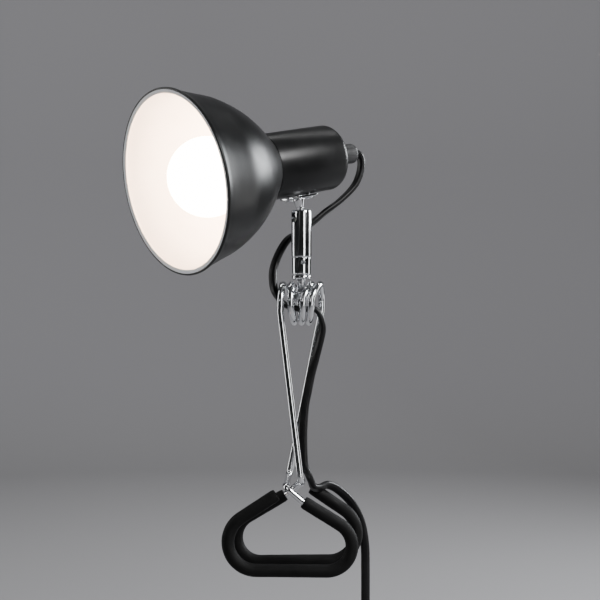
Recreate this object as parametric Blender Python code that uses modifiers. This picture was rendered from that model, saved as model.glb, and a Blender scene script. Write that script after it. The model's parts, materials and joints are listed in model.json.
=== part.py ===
"""Clip-on reading lamp: a spun shade on a ball joint, held by a sprung wire clamp.

Metres, +Z up. X is to the right, Y runs from the front jaw to the rear jaw. The origin is
midway between the bottom bars of the two jaws, where the edge of a board is gripped.
"""
import math

import bmesh
import bpy
from mathutils import Matrix, Vector

MM = 0.001
GAP = 0.3  # clearance between pieces that touch, in mm like every size below

# clamp: one spring wire, the same on both sides after half a turn about Z
WIRE_RADIUS = 2.0
COIL_Z = 154.9
COIL_RADIUS = 11.3
COIL_OFFSETS = (0.0, -0.9, -5.9, -6.3, -4.35, -5.6, -10.9, -12.1)  # X at each quarter turn
COIL_STEPS_PER_QUARTER = 4
LEAN = 0.038  # the legs and jaws lean to -X by this much for each mm below the coil
LEG_SPREAD = 16.2
LEG_FOOT_X = 3.6
LEG_FOOT_DROP = 103.5
JAW_Y = 13.5
JAW_CORNER = (5.2, 106.2)
JAW_START = (4.3, 114.1)
JAW_RIGHT = (72.3, 155.2)
JAW_LEFT = (-75.0, 153.8)
JAW_END = (-10.3, 110.7)
JAW_RIGHT_RADIUS = 14.5
JAW_LEFT_RADIUS = 16.5
SLEEVE_RADIUS = 3.75
SLEEVE_WALL = 1.15

# stem, from the coil up to the ball
COLLAR_Z = (168.7, 171.4)
COLLAR_RADIUS = 5.6
BOLT_RADIUS = 2.5
STEM_BASE_Z = (171.7, 181.6)
STEM_RADIUS = 5.7
SPIGOT_RADIUS = 3.4
CUP_Z = (181.9, 209.6)
CUP_RADIUS = 6.0
BALL_Z = 206.7
BALL_RADIUS = 4.2
SEAT_CLEARANCE = 0.4
SLOT_WIDTH = 5.0
SLOT_DEPTH = 7.4
STUD_RADIUS = 1.9
PLATE_THICKNESS = 1.1
PLATE_SIZE = (21.4, 9.0, PLATE_THICKNESS)
PLATE_SCREW_AT = 7.4

# head, measured along its axis from the stud: the shade is at plus, the cord at minus
HEAD_YAW = math.radians(-141.7)
HEAD_PITCH = math.radians(11.2)
HEAD_RISE = 30.8
RIM_AT = 84.8
SHADE_OUTLINE = ((0.0, 51.4), (8.0, 48.9), (16.0, 46.8), (24.0, 44.7), (32.0, 41.3), (40.0, 36.9),
                 (46.0, 32.7), (51.0, 28.7), (55.0, 25.0), (58.0, 22.1), (60.0, 20.2), (61.2, 19.3))
SHADE_WALL = 0.9
LIP_DEPTH = 3.2
HOUSING_RADIUS = 19.3
HOUSING_WALL = 1.3
HOUSING_FRONT = 23.3
HOUSING_BACK = -28.2
HOUSING_ROUND = 4.6
HOLDER_RADIUS = 13.6
HOLDER_FRONT = 29.4
HOLDER_BACK = -14.0
BULB_AT = 61.7
BULB_RADIUS = 22.4
BULB_NECK_RADIUS = 12.0
GLAND_RADIUS = 6.0
GLAND_LENGTH = 18.0
GLAND_SCREW_AT = 5.0  # behind the housing

# cord
CORD_RADIUS = 2.1
CORD_WIDTH = 5.4
CORD_LAYER = 3.6
RING_RADIUS = 30.0
RING_CENTRE = (40.7, 26.0, -147.4)
TIE_ANGLE = math.radians(-14.0)
SWITCH_CENTRE = (39.0, 26.0, -62.0)
SWITCH_SIZE = (21.0, 17.0, 58.0)
SWITCH_EDGE = 2.4
ROCKER_WIDTH = 10.6
ROCKER_PIVOT_Y = -5.2  # in front of the switch's middle
LOOP_ROUTE = ((31.9, 25.2, 246.2), (33.8, 26.6, 246.3), (35.6, 27.8, 244.7), (36.5, 28.4, 241.5),
              (36.3, 28.4, 237.0), (34.6, 27.6, 230.9), (31.0, 26.0, 224.7), (22.9, 22.0, 216.5),
              (13.9, 18.0, 209.5), (7.2, 15.2, 203.7), (-2.0, 13.2, 197.0), (-8.4, 12.0, 192.5),
              (-13.3, 10.0, 184.7), (-16.5, 6.8, 175.8), (-16.9, 3.6, 168.6), (-15.3, 1.0, 161.0))
DROP_ROUTE = ((-14.9, 0.7, 160.0), (-9.5, 0.0, 153.9), (0.0, 0.0, 151.2), (7.4, 0.6, 151.4),
              (11.0, 1.0, 147.6), (12.4, 1.6, 141.0), (11.3, 2.6, 134.0), (8.2, 4.0, 121.9),
              (5.6, 4.8, 112.5), (3.7, 5.0, 103.0), (1.9, 4.8, 93.6), (0.9, 4.2, 79.5),
              (1.0, 3.6, 66.0), (1.7, 3.2, 58.8), (4.0, 3.2, 53.8), (5.6, 3.6, 49.8),
              (7.2, 4.8, 46.0), (10.8, 8.0, 45.0), (15.5, 13.2, 46.0), (22.0, 18.6, 42.3),
              (30.0, 22.6, 34.0), (36.0, 25.2, 22.0), (38.6, 26.0, 8.0), (39.0, 26.0, -8.0),
              (39.0, 26.0, -32.7))
TAIL_ROUTE = ((39.0, 26.0, -91.3), (39.0, 26.0, -97.5), (39.9, 26.0, -103.5), (41.6, 26.0, -107.8))
PLUG_LEAD_ROUTE = ((57.5, 34.2, -169.6), (52.5, 36.9, -173.4), (46.0, 39.2, -175.3),
                   (43.0, 39.4, -175.4), (40.0, 39.4, -175.4))
PLUG_BODY = (34.0, 13.6, 26.0)
PLUG_PIN_SPREAD = 18.6

COLOURS = {
    "chrome": ((0.78, 0.79, 0.80), 0.12, 1.0),
    "black_lacquer": ((0.022, 0.023, 0.025), 0.42, 0.0),
    "rubber": ((0.02, 0.02, 0.021), 0.75, 0.0),
    "black_plastic": ((0.025, 0.025, 0.027), 0.45, 0.0),
    "holder_plastic": ((0.82, 0.80, 0.75), 0.5, 0.0),
    "brass": ((0.72, 0.55, 0.26), 0.3, 1.0),
    "zinc_steel": ((0.62, 0.63, 0.65), 0.35, 1.0),
    "opal_glass": ((0.96, 0.94, 0.90), 0.3, 0.0),
    "white_plastic": ((0.9, 0.9, 0.88), 0.4, 0.0),
    "cap_metal": ((0.80, 0.78, 0.72), 0.25, 1.0),
    "cord_pvc": ((0.018, 0.018, 0.02), 0.5, 0.0),
    "nylon": ((0.85, 0.83, 0.76), 0.5, 0.0),
}


def clear_scene():
    for old in list(bpy.data.objects):
        bpy.data.objects.remove(old, do_unlink=True)


def new_collection(name):
    made = bpy.data.collections.new(name)
    bpy.context.scene.collection.children.link(made)
    return made


def make_material(name):
    colour, roughness, metallic = COLOURS[name]
    made = bpy.data.materials.new(name)
    made.use_nodes = True
    shader = made.node_tree.nodes["Principled BSDF"]
    shader.inputs["Base Color"].default_value = (*colour, 1.0)
    shader.inputs["Roughness"].default_value = roughness
    shader.inputs["Metallic"].default_value = metallic
    return made


clear_scene()
PARTS = new_collection("clip_on_reading_lamp")
CUTTERS = new_collection("cutters")
MATERIALS = {name: make_material(name) for name in COLOURS}


def point(values):
    return Vector(values) * MM


def empty(name, location, rotation=(0.0, 0.0, 0.0), parent=None):
    made = bpy.data.objects.new(name, None)
    made.location = point(location)
    made.rotation_euler = rotation
    made.parent = parent
    PARTS.objects.link(made)
    return made


def add(name, mesh, material, parent=None, location=(0.0, 0.0, 0.0), rotation=(0.0, 0.0, 0.0)):
    """Link one named part, or a cutter when it has no material."""
    made = bpy.data.objects.new(name, mesh)
    made.location = point(location)
    made.rotation_euler = rotation
    made.parent = parent
    if material is None:
        made.hide_render = True
        made.display_type = "WIRE"
        CUTTERS.objects.link(made)
    else:
        mesh.materials.append(MATERIALS[material])
        PARTS.objects.link(made)
    return made


def turned(name, profile, material, parent=None, steps=24, closed=False, **place):
    """Turn a profile of (radius, height) points about Z: outer side down, inner side up."""
    mesh = bpy.data.meshes.new(name)
    vertices = [point((r, 0.0, z)) for r, z in profile]
    edges = [(i, i + 1) for i in range(len(profile) - 1)]
    if closed:
        edges.append((len(profile) - 1, 0))
    mesh.from_pydata(vertices, edges, [])
    made = add(name, mesh, material, parent, **place)
    screw = made.modifiers.new("turn", "SCREW")
    screw.steps = steps
    screw.render_steps = steps
    screw.use_merge_vertices = True
    screw.merge_threshold = 0.00001
    screw.use_smooth_shade = True
    return made


def ring_profile(outer, inner, low, high, ease=0.0):
    """A washer's cross-section, its outer corners eased."""
    if not ease:
        return [(inner, high), (outer, high), (outer, low), (inner, low)]
    return [(inner, high), (outer - ease, high), (outer, high - ease), (outer, low + ease),
            (outer - ease, low), (inner, low)]


def rod_profile(radius, low, high, ease=0.0):
    if ease:
        return [(0.0, high), (radius - ease, high), (radius, high - ease),
                (radius, low + ease), (radius - ease, low), (0.0, low)]
    return [(0.0, high), (radius, high), (radius, low), (0.0, low)]


def tube(name, points, radius, material, parent=None, sides=2, caps=True):
    """A round wire or cord along a list of points, as a poly spline with filled ends."""
    curve = bpy.data.curves.new(name, "CURVE")
    curve.dimensions = "3D"
    spline = curve.splines.new("POLY")
    spline.points.add(len(points) - 1)
    for slot, place in zip(spline.points, points):
        slot.co = (*(Vector(place) * MM), 1.0)
    curve.bevel_depth = radius * MM
    curve.bevel_resolution = sides
    curve.use_fill_caps = caps
    made = bpy.data.objects.new(name, curve)
    curve.materials.append(MATERIALS[material])
    made.parent = parent
    PARTS.objects.link(made)
    return made


def as_mesh(source):
    """Swap a curve or a modified object for the plain mesh that it evaluates to."""
    bpy.context.view_layer.update()
    mesh = bpy.data.meshes.new_from_object(
        source.evaluated_get(bpy.context.evaluated_depsgraph_get()))
    shape = bmesh.new()
    shape.from_mesh(mesh)
    bmesh.ops.remove_doubles(shape, verts=shape.verts, dist=0.000001)
    shape.to_mesh(mesh)
    shape.free()
    name = source.name
    parent = source.parent
    local = source.matrix_local.copy()
    bpy.data.objects.remove(source, do_unlink=True)
    made = bpy.data.objects.new(name, mesh)
    made.parent = parent
    made.matrix_local = local
    PARTS.objects.link(made)
    return made


def cut(target, cutter):
    knife = target.modifiers.new("cut", "BOOLEAN")
    knife.operation = "DIFFERENCE"
    knife.solver = "EXACT"
    knife.object = cutter


def box_mesh(name, size, bevel=0.0):
    mesh = bpy.data.meshes.new(name)
    shape = bmesh.new()
    bmesh.ops.create_cube(shape, size=1.0)
    bmesh.ops.scale(shape, vec=point(size), verts=shape.verts)
    if bevel:
        bmesh.ops.bevel(shape, geom=shape.edges, offset=bevel * MM, segments=2, profile=0.5,
                        affect="EDGES")
    shape.to_mesh(mesh)
    shape.free()
    return mesh


def prism_mesh(name, sides, radius, height):
    mesh = bpy.data.meshes.new(name)
    shape = bmesh.new()
    bmesh.ops.create_cone(shape, cap_ends=True, segments=sides, radius1=radius * MM,
                          radius2=radius * MM, depth=height * MM)
    shape.to_mesh(mesh)
    shape.free()
    return mesh


def cutter_rod(name, radius, height, parent=None, sides=24, **place):
    return add(name, prism_mesh(name, sides, radius, height), None, parent, **place)


def smooth(points, spacing):
    """Points at an even spacing along a Catmull-Rom curve through the route's own points."""
    ends = [points[0], *points, points[-1]]
    dense = []
    for before, start, stop, after in zip(ends, ends[1:], ends[2:], ends[3:]):
        p0, p1, p2, p3 = (Vector(p) for p in (before, start, stop, after))
        for k in range(12):
            t = k / 12
            dense.append(0.5 * (2 * p1 + (p2 - p0) * t + (2 * p0 - 5 * p1 + 4 * p2 - p3) * t ** 2
                                + (3 * p1 - p0 - 3 * p2 + p3) * t ** 3))
    dense.append(Vector(points[-1]))
    run = [0.0]
    for a, b in zip(dense, dense[1:]):
        run.append(run[-1] + (b - a).length)
    count = max(2, round(run[-1] / spacing))
    found = []
    at = 0
    for k in range(count + 1):
        want = run[-1] * k / count
        while at < len(run) - 2 and run[at + 1] < want:
            at += 1
        share = (want - run[at]) / max(run[at + 1] - run[at], 1e-9)
        found.append(dense[at].lerp(dense[at + 1], min(share, 1.0)))
    return found


def filleted(corners, step_deg=15.0):
    """A path through corners given as (point, radius), each corner rounded to its radius."""
    path = [Vector(corners[0][0])]
    for (before, _), (corner, radius), (after, _) in zip(corners, corners[1:], corners[2:]):
        corner = Vector(corner)
        back = (Vector(before) - corner).normalized()
        ahead = (Vector(after) - corner).normalized()
        half = back.angle(ahead) / 2
        reach = radius / math.tan(half)
        centre = corner + (back + ahead).normalized() * (radius / math.sin(half))
        start = corner + back * reach - centre
        turn = math.pi - 2 * half
        steps = max(2, math.ceil(math.degrees(turn) / step_deg))
        spin_axis = start.cross(corner + ahead * reach - centre).normalized()
        for k in range(steps + 1):
            path.append(centre + Matrix.Rotation(turn * k / steps, 3, spin_axis) @ start)
    path.append(Vector(corners[-1][0]))
    return path


def subdivided(path, longest):
    """The same path with its long straight runs split, so that the wire's facets stay even."""
    made = [path[0]]
    for a, b in zip(path, path[1:]):
        pieces = max(1, math.ceil((b - a).length / longest))
        made.extend(a.lerp(b, k / pieces) for k in range(1, pieces + 1))
    return made


# ---- clamp ----------------------------------------------------------------------------------

def coil_point(quarters, side):
    """A point on the coil, counted in quarter turns from the middle of the wire."""
    low = min(int(quarters), len(COIL_OFFSETS) - 2)
    share = quarters - low
    ease = share * share * (3 - 2 * share)
    x = COIL_OFFSETS[low] + (COIL_OFFSETS[low + 1] - COIL_OFFSETS[low]) * ease
    angle = quarters * math.pi / 2
    return Vector((x * side, COIL_RADIUS * math.sin(angle) * side,
                   COIL_Z - COIL_RADIUS * math.cos(angle)))


def make_coil():
    count = (len(COIL_OFFSETS) - 1) * COIL_STEPS_PER_QUARTER
    left = [coil_point(k / COIL_STEPS_PER_QUARTER, 1) for k in range(count, 0, -1)]
    right = [coil_point(k / COIL_STEPS_PER_QUARTER, -1) for k in range(count + 1)]
    tube("clamp_coil", left + right, WIRE_RADIUS, "chrome")


def leaned(x, y, drop, side):
    """A point on a jaw, relative to the coil's centre; side is +1 in front and -1 behind."""
    return Vector((x * side - LEAN * drop, y * side, -drop))


def make_jaw(name, side, hinge):
    """The leg behind (or in front) crosses over and becomes the front (or rear) loop."""
    end_x = -COIL_OFFSETS[-1]
    start = leaned(JAW_START[0], -JAW_Y, JAW_START[1], side)
    right = leaned(JAW_RIGHT[0], -JAW_Y, JAW_RIGHT[1], side)
    left = leaned(JAW_LEFT[0], -JAW_Y, JAW_LEFT[1], side)
    end = leaned(JAW_END[0], -JAW_Y, JAW_END[1], side)
    corners = [
        (leaned(end_x, COIL_RADIUS, 3 * GAP, side), 0.0),
        (leaned(end_x, COIL_RADIUS, 5.0, side), 12.0),
        (leaned(-LEG_FOOT_X, LEG_SPREAD, LEG_FOOT_DROP, side), 4.0),
        (leaned(-JAW_CORNER[0], -JAW_Y, JAW_CORNER[1], side), 3.5),
        (start, 3.0), (right, JAW_RIGHT_RADIUS), (left, JAW_LEFT_RADIUS),
        (end + (left - end).normalized() * 2.0, 0.0),
    ]
    tube(f"{name}_jaw_wire", subdivided(filleted(corners), 14.0), WIRE_RADIUS, "chrome", hinge)
    loop = filleted([(start + (right - start).normalized() * 1.5, 0.0), (right, JAW_RIGHT_RADIUS),
                     (left, JAW_LEFT_RADIUS), (end, 0.0)])
    sleeve = tube(f"{name}_jaw_sleeve", subdivided(loop, 14.0), SLEEVE_RADIUS, "rubber", hinge,
                  caps=False)
    sleeve = as_mesh(sleeve)
    wall = sleeve.modifiers.new("wall", "SOLIDIFY")
    wall.thickness = SLEEVE_WALL * MM
    wall.offset = -1.0


# ---- stem -----------------------------------------------------------------------------------

def make_stem(slot_yaw):
    turned("swivel_bolt", [(0.0, 175.0), (BOLT_RADIUS - 0.4, 175.0), (BOLT_RADIUS, 174.6),
                           (BOLT_RADIUS, 160.5), (4.4, 160.5), (4.4, 157.6), (3.8, 157.0),
                           (0.0, 157.0)], "zinc_steel", steps=16)
    turned("bolt_washer", ring_profile(5.4, BOLT_RADIUS + GAP, 160.8, 161.7, 0.2), "chrome",
           steps=24, closed=True)
    turned("collar", ring_profile(COLLAR_RADIUS, BOLT_RADIUS + GAP, *COLLAR_Z, 0.8), "chrome",
           closed=True)
    low, high = STEM_BASE_Z
    bore = SPIGOT_RADIUS + GAP
    base = turned("stem_base", [
        (bore, high), (STEM_RADIUS - 0.2, high), (STEM_RADIUS, high - 0.2),
        (STEM_RADIUS - 0.2, low + 0.3), (STEM_RADIUS - 0.5, low), (BOLT_RADIUS + GAP, low),
        (BOLT_RADIUS + GAP, 175.4), (bore, 175.4)], "chrome", closed=True)
    toward_front = (math.pi / 2, 0.0, 0.0)
    cut(base, cutter_rod("grub_hole", 1.45, 6.0, location=(1.0, -5.0, 178.8), sides=16,
                         rotation=toward_front))
    screw = turned("grub_screw", rod_profile(1.15, -1.2, 1.2, 0.2), "zinc_steel", steps=16,
                   location=(1.0, -4.25, 178.8), rotation=toward_front)
    cut(screw, add("grub_slot", box_mesh("grub_slot", (3.0, 0.5, 0.8)), None,
                   location=(1.0, -5.45, 178.8), rotation=toward_front))

    bottom, top = CUP_Z
    hollow = BALL_RADIUS + SEAT_CLEARANCE
    lip = [(hollow * math.cos(a), BALL_Z + hollow * math.sin(a))
           for a in (math.radians(d) for d in (0, 13, 26, 39))]
    cup = turned("stem_top", [
        (0.0, 189.5), (hollow, 189.5), *lip, (CUP_RADIUS - 1.0, top),
        (CUP_RADIUS - 0.3, top - 0.4), (CUP_RADIUS, top - 1.4),
        (CUP_RADIUS - 0.1, bottom + 0.3), (CUP_RADIUS - 0.4, bottom), (SPIGOT_RADIUS, bottom),
        (SPIGOT_RADIUS, 180.2), (SPIGOT_RADIUS - 0.7, 179.9), (SPIGOT_RADIUS - 0.7, 177.7),
        (SPIGOT_RADIUS, 177.4), (SPIGOT_RADIUS, 175.8), (0.0, 175.8)], "chrome", steps=28)
    slot_top = top + 3.0
    slot_low = top - SLOT_DEPTH + SLOT_WIDTH / 2
    turn = (0.0, 0.0, slot_yaw)
    forward = Vector((math.cos(slot_yaw), math.sin(slot_yaw), 0.0))
    middle = forward * 5.0
    cut(cup, add("slot_sides", box_mesh("slot_sides", (10.0, SLOT_WIDTH, slot_top - slot_low)),
                 None, location=(middle.x, middle.y, (slot_top + slot_low) / 2), rotation=turn))
    cut(cup, cutter_rod("slot_end", SLOT_WIDTH / 2, 10.0, location=(middle.x, middle.y, slot_low),
                        rotation=(0.0, math.pi / 2, slot_yaw)))
    seat_hollow = [(4.5 * math.sin(a), BALL_Z - 4.5 * math.cos(a))
                   for a in (math.radians(d) for d in (0, 20, 40, 58))]
    turned("ball_seat", [*seat_hollow, (hollow - GAP, seat_hollow[-1][1]), (hollow - GAP, 199.6),
                         (3.9, 199.2), (0.0, 199.2)], "nylon", steps=18)
    spring = [Vector((3.5 * math.cos(a), 3.5 * math.sin(a), 190.3 + 8.0 * a / (8 * math.pi)))
              for a in (2 * math.pi * k / 9 for k in range(37))]
    tube("seat_spring", spring, 0.4, "zinc_steel", sides=1)


def plate_top():
    """Height of the mounting plate's top face above the ball, just under the housing."""
    return HEAD_RISE - HOUSING_RADIUS - GAP


def make_stud(pivot):
    ball = [(BALL_RADIUS * math.sin(a), BALL_RADIUS * math.cos(a))
            for a in (math.radians(d) for d in (28, 50, 72, 90, 112, 134, 156))]
    shoulder = plate_top() - PLATE_THICKNESS - GAP
    tip = shoulder + 8.1
    turned("ball_stud", [
        (0.0, tip), (STUD_RADIUS - 0.4, tip), (STUD_RADIUS, tip - 0.4), (STUD_RADIUS, shoulder),
        (3.4, shoulder), (3.5, shoulder - 0.3), (3.4, shoulder - 1.1), (2.2, 4.3), (1.8, 4.0),
        *ball, (0.0, -BALL_RADIUS)], "chrome", pivot, steps=20)
    nut_height = shoulder + 6.4
    nut = add("stud_nut", prism_mesh("stud_nut", 6, 3.9, 2.6), "zinc_steel", pivot,
              location=(0.0, 0.0, nut_height))
    cut(nut, cutter_rod("nut_bore", STUD_RADIUS + GAP, 6.0, pivot, sides=20,
                        location=(0.0, 0.0, nut_height)))
    turned("stud_washer", ring_profile(4.2, STUD_RADIUS + GAP, shoulder + 4.1, shoulder + 4.8),
           "zinc_steel", pivot, steps=20, closed=True)


# ---- head -----------------------------------------------------------------------------------

def shade_radius_points():
    """The shade's outside from rim to neck, as (distance along the head's axis, radius)."""
    flat = smooth([(at, radius, 0.0) for at, radius in SHADE_OUTLINE], 8.0)
    return [(RIM_AT - p.x, p.y) for p in flat]


def make_shade(axis):
    outside = [(radius, at) for at, radius in shade_radius_points()]
    inside = [(radius - SHADE_WALL, at) for radius, at in outside[1:-1]]
    back = outside[-1][1]
    hole = HOLDER_RADIUS + GAP + 0.2
    lip = [(outside[0][0] - LIP_DEPTH, RIM_AT - 1.6), (outside[0][0] - LIP_DEPTH, RIM_AT - 0.5),
           (outside[0][0] - 1.0, RIM_AT)]
    # the bowl opens to +Z, so its outer side runs down from the rim to the neck
    profile = [*lip, (outside[0][0], RIM_AT - 0.9), *outside[1:], (outside[-1][0] - 0.6, back)]
    profile += [(hole, back), (hole, back + SHADE_WALL), (outside[-1][0] - 1.6, back + SHADE_WALL)]
    profile += inside[::-1]
    profile = [p for p, q in zip(profile, profile[1:] + profile[:1]) if p != q]
    turned("shade", profile, "black_lacquer", axis, steps=40, closed=True)
    turned("shade_ring", [
        (HOLDER_RADIUS + GAP, back + 4.6), (HOLDER_RADIUS + 2.6, back + 4.6),
        (HOLDER_RADIUS + 3.0, back + 4.2), (HOLDER_RADIUS + 3.0, back + 1.2),
        (HOLDER_RADIUS + GAP, back + 1.2)], "holder_plastic", axis, steps=24, closed=True)


def make_housing(axis):
    bend = [(HOUSING_RADIUS - HOUSING_ROUND * (1 - math.sin(a)),
             HOUSING_BACK + HOUSING_ROUND * (1 - math.cos(a)))
            for a in (math.radians(d) for d in (90, 67, 45, 22, 0))]
    inner_round = HOUSING_ROUND - HOUSING_WALL
    inner_bend = [(HOUSING_RADIUS - HOUSING_WALL - inner_round * (1 - math.sin(a)),
                   HOUSING_BACK + HOUSING_WALL + inner_round * (1 - math.cos(a)))
                  for a in (math.radians(d) for d in (0, 30, 60, 90))]
    hole = 4.3
    housing = turned("rear_housing", [
        (HOUSING_RADIUS - HOUSING_WALL, HOUSING_FRONT), (HOUSING_RADIUS - 0.3, HOUSING_FRONT),
        (HOUSING_RADIUS, HOUSING_FRONT - 0.3), *bend, (hole, HOUSING_BACK),
        (hole, HOUSING_BACK + HOUSING_WALL), *inner_bend], "black_lacquer", axis, steps=36,
        closed=True)
    for name, at, radius in (("stud_hole", 0.0, 2.4), ("front_screw_hole", PLATE_SCREW_AT, 1.5),
                             ("rear_screw_hole", -PLATE_SCREW_AT, 1.5)):
        cut(housing, cutter_rod(name, radius, 8.0, axis, location=(HOUSING_RADIUS, 0.0, at),
                                rotation=(0.0, math.pi / 2, 0.0), sides=16))


def make_plate(pivot):
    top = plate_top()
    plate = add("mounting_plate", box_mesh("mounting_plate", PLATE_SIZE, 0.3), "chrome", pivot,
                location=(0.0, 0.0, top - PLATE_THICKNESS / 2))
    for name, at, radius in (("plate_hole", 0.0, 2.2), ("plate_hole_front", PLATE_SCREW_AT, 1.5),
                             ("plate_hole_rear", -PLATE_SCREW_AT, 1.5)):
        cut(plate, cutter_rod(name, radius, 4.0, pivot, location=(at, 0.0, top), sides=16))
    head = top - PLATE_THICKNESS - GAP
    tip = top + 4.0
    for name, at in (("plate_screw_front", PLATE_SCREW_AT), ("plate_screw_rear", -PLATE_SCREW_AT)):
        turned(name, [(0.0, tip), (0.9, tip), (1.2, tip - 0.4), (1.2, head), (2.4, head),
                      (2.3, head - 0.7), (1.5, head - 1.2), (0.0, head - 1.3)], "zinc_steel",
               pivot, steps=16, location=(at, 0.0, 0.0))


def make_holder(axis):
    outside = [(HOLDER_RADIUS - 1.0, HOLDER_FRONT), (HOLDER_RADIUS, HOLDER_FRONT - 0.8)]
    groove = HOLDER_FRONT - 3.0
    for _ in range(2):
        outside += [(HOLDER_RADIUS, groove), (HOLDER_RADIUS - 0.6, groove - 0.6),
                    (HOLDER_RADIUS, groove - 1.2)]
        groove -= 2.6
    turned("lampholder_body", [
        (0.0, 0.0), (5.0, 0.0), (5.0, 3.0), (8.6, 3.0), (8.6, HOLDER_FRONT), *outside,
        (HOLDER_RADIUS, 5.0), (12.0, 3.6), (12.0, HOLDER_BACK + 4.0), (9.0, HOLDER_BACK),
        (0.0, HOLDER_BACK)], "holder_plastic", axis, steps=24)
    turned("lampholder_shell", ring_profile(8.2, 7.55, 4.0, 23.5), "brass", axis, steps=18,
           closed=True)
    turned("centre_contact", [(0.0, 3.1), (1.4, 3.1), (1.8, 2.6), (1.8, GAP), (0.0, GAP)],
           "brass", axis, steps=16)


def make_bulb(axis):
    neck = 39.0
    globe = [(BULB_RADIUS * math.sin(a), BULB_AT + BULB_RADIUS * math.cos(a))
             for a in (math.radians(15.0 * k) for k in range(1, 12))]
    globe = [(r, at) for r, at in globe if r > BULB_NECK_RADIUS or at > BULB_AT]
    turned("bulb_globe", [(0.0, BULB_AT + BULB_RADIUS), *globe, (12.6, neck + GAP),
                          (0.0, neck + GAP)], "opal_glass", axis, steps=24)
    turned("bulb_collar", [(0.0, neck), (12.8, neck), (13.0, neck - 0.6), (10.6, 32.6),
                           (8.1, 30.2), (8.1, 27.4), (7.0, 26.3), (0.0, 26.3)], "white_plastic", axis, steps=20)
    thread = []
    for k in range(4):
        crest = 23.4 - 3.6 * k
        thread += [(7.1, crest + 0.7), (7.1, crest - 0.3), (6.5, crest - 1.1)]
    turned("bulb_cap", [(0.0, 26.0), (6.6, 26.0), (6.6, 25.2), *thread, (6.5, 8.6), (4.6, 6.9),
                        (0.0, 6.9)], "cap_metal", axis, steps=16)
    turned("bulb_insulator", [(0.0, 6.6), (4.2, 6.6), (3.0, 5.4), (0.0, 5.4)], "black_plastic",
           axis, steps=16)
    turned("bulb_tip", [(0.0, 5.1), (1.7, 5.1), (1.9, 4.3), (1.2, 3.6), (0.0, 3.4)],
           "zinc_steel", axis, steps=16)


def make_gland(axis):
    end = HOUSING_BACK - GLAND_LENGTH
    inner = HOUSING_BACK + HOUSING_WALL + GAP
    gland = turned("cord_gland", [
        (0.0, inner + 4.6), (3.6, inner + 4.6), (3.8, inner + 4.2), (3.8, HOUSING_BACK - GAP),
        (GLAND_RADIUS, HOUSING_BACK - GAP), (GLAND_RADIUS, end + 1.0), (GLAND_RADIUS - 0.9, end),
        (0.0, end)], "black_plastic", axis, steps=20)
    cut(gland, cutter_rod("gland_screw_hole", 1.5, 7.0, axis, sides=16,
                          location=(-5.5, 0.0, HOUSING_BACK - GLAND_SCREW_AT),
                          rotation=(0.0, math.pi / 2, 0.0)))
    turned("gland_screw", rod_profile(1.2, -1.3, 1.3, 0.2), "nylon", axis, steps=16,
           location=(-4.0, 0.0, HOUSING_BACK - GLAND_SCREW_AT), rotation=(0.0, math.pi / 2, 0.0))
    nut = add("gland_nut", prism_mesh("gland_nut", 6, 6.6, 2.6), "zinc_steel", axis,
              location=(0.0, 0.0, inner + 1.3 + 0.1))
    cut(nut, cutter_rod("gland_nut_bore", 4.1, 6.0, axis, location=(0.0, 0.0, inner), sides=20))
    for name, side in (("live_lead", 1), ("neutral_lead", -1)):
        route = [(0.0, 1.7 * side, inner + 5.5), (0.8, 3.4 * side, inner + 8.0),
                 (2.0, 6.0 * side, HOLDER_BACK - 1.0)]
        tube(name, smooth(route, 2.5), 0.9, "rubber", axis)


# ---- cord -----------------------------------------------------------------------------------

def make_cord():
    tube("cord_loop", smooth(LOOP_ROUTE, 5.0), CORD_RADIUS, "cord_pvc")
    tube("cord_drop", smooth(DROP_ROUTE, 5.0), CORD_RADIUS, "cord_pvc")
    tube("cord_tail", smooth(TAIL_ROUTE, 5.0), CORD_RADIUS, "cord_pvc")
    tube("plug_lead", smooth(PLUG_LEAD_ROUTE, 5.0), CORD_RADIUS, "cord_pvc")
    half_width = CORD_WIDTH
    half_depth = CORD_LAYER * 1.5
    section = [(RING_RADIUS - half_depth, half_width - 1.5),
               (RING_RADIUS - half_depth + 1.5, half_width),
               (RING_RADIUS + half_depth - 1.5, half_width),
               (RING_RADIUS + half_depth, half_width - 1.5),
               (RING_RADIUS + half_depth, 1.5 - half_width),
               (RING_RADIUS + half_depth - 1.5, -half_width),
               (RING_RADIUS - half_depth + 1.5, -half_width),
               (RING_RADIUS - half_depth, 1.5 - half_width)]
    turned("cord_coil", section, "cord_pvc", steps=32, closed=True, location=RING_CENTRE,
           rotation=(math.pi / 2, 0.0, 0.0))
    tie_angle = TIE_ANGLE
    tie = box_mesh("cord_tie", (2 * half_depth + 3.4, 9.0, 2 * half_width + 3.4), 1.2)
    place = (RING_CENTRE[0] + RING_RADIUS * math.cos(tie_angle), RING_CENTRE[1],
             RING_CENTRE[2] + RING_RADIUS * math.sin(tie_angle))
    band = add("cord_tie", tie, "rubber", location=place,
               rotation=(math.pi / 2, -tie_angle, 0.0))
    cut(band, turned("tie_hollow", [(r + (GAP if r > RING_RADIUS else -GAP),
                                     z + (GAP if z > 0 else -GAP)) for r, z in section],
                     None, steps=32, closed=True, location=RING_CENTRE,
                     rotation=(math.pi / 2, 0.0, 0.0)))


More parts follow.
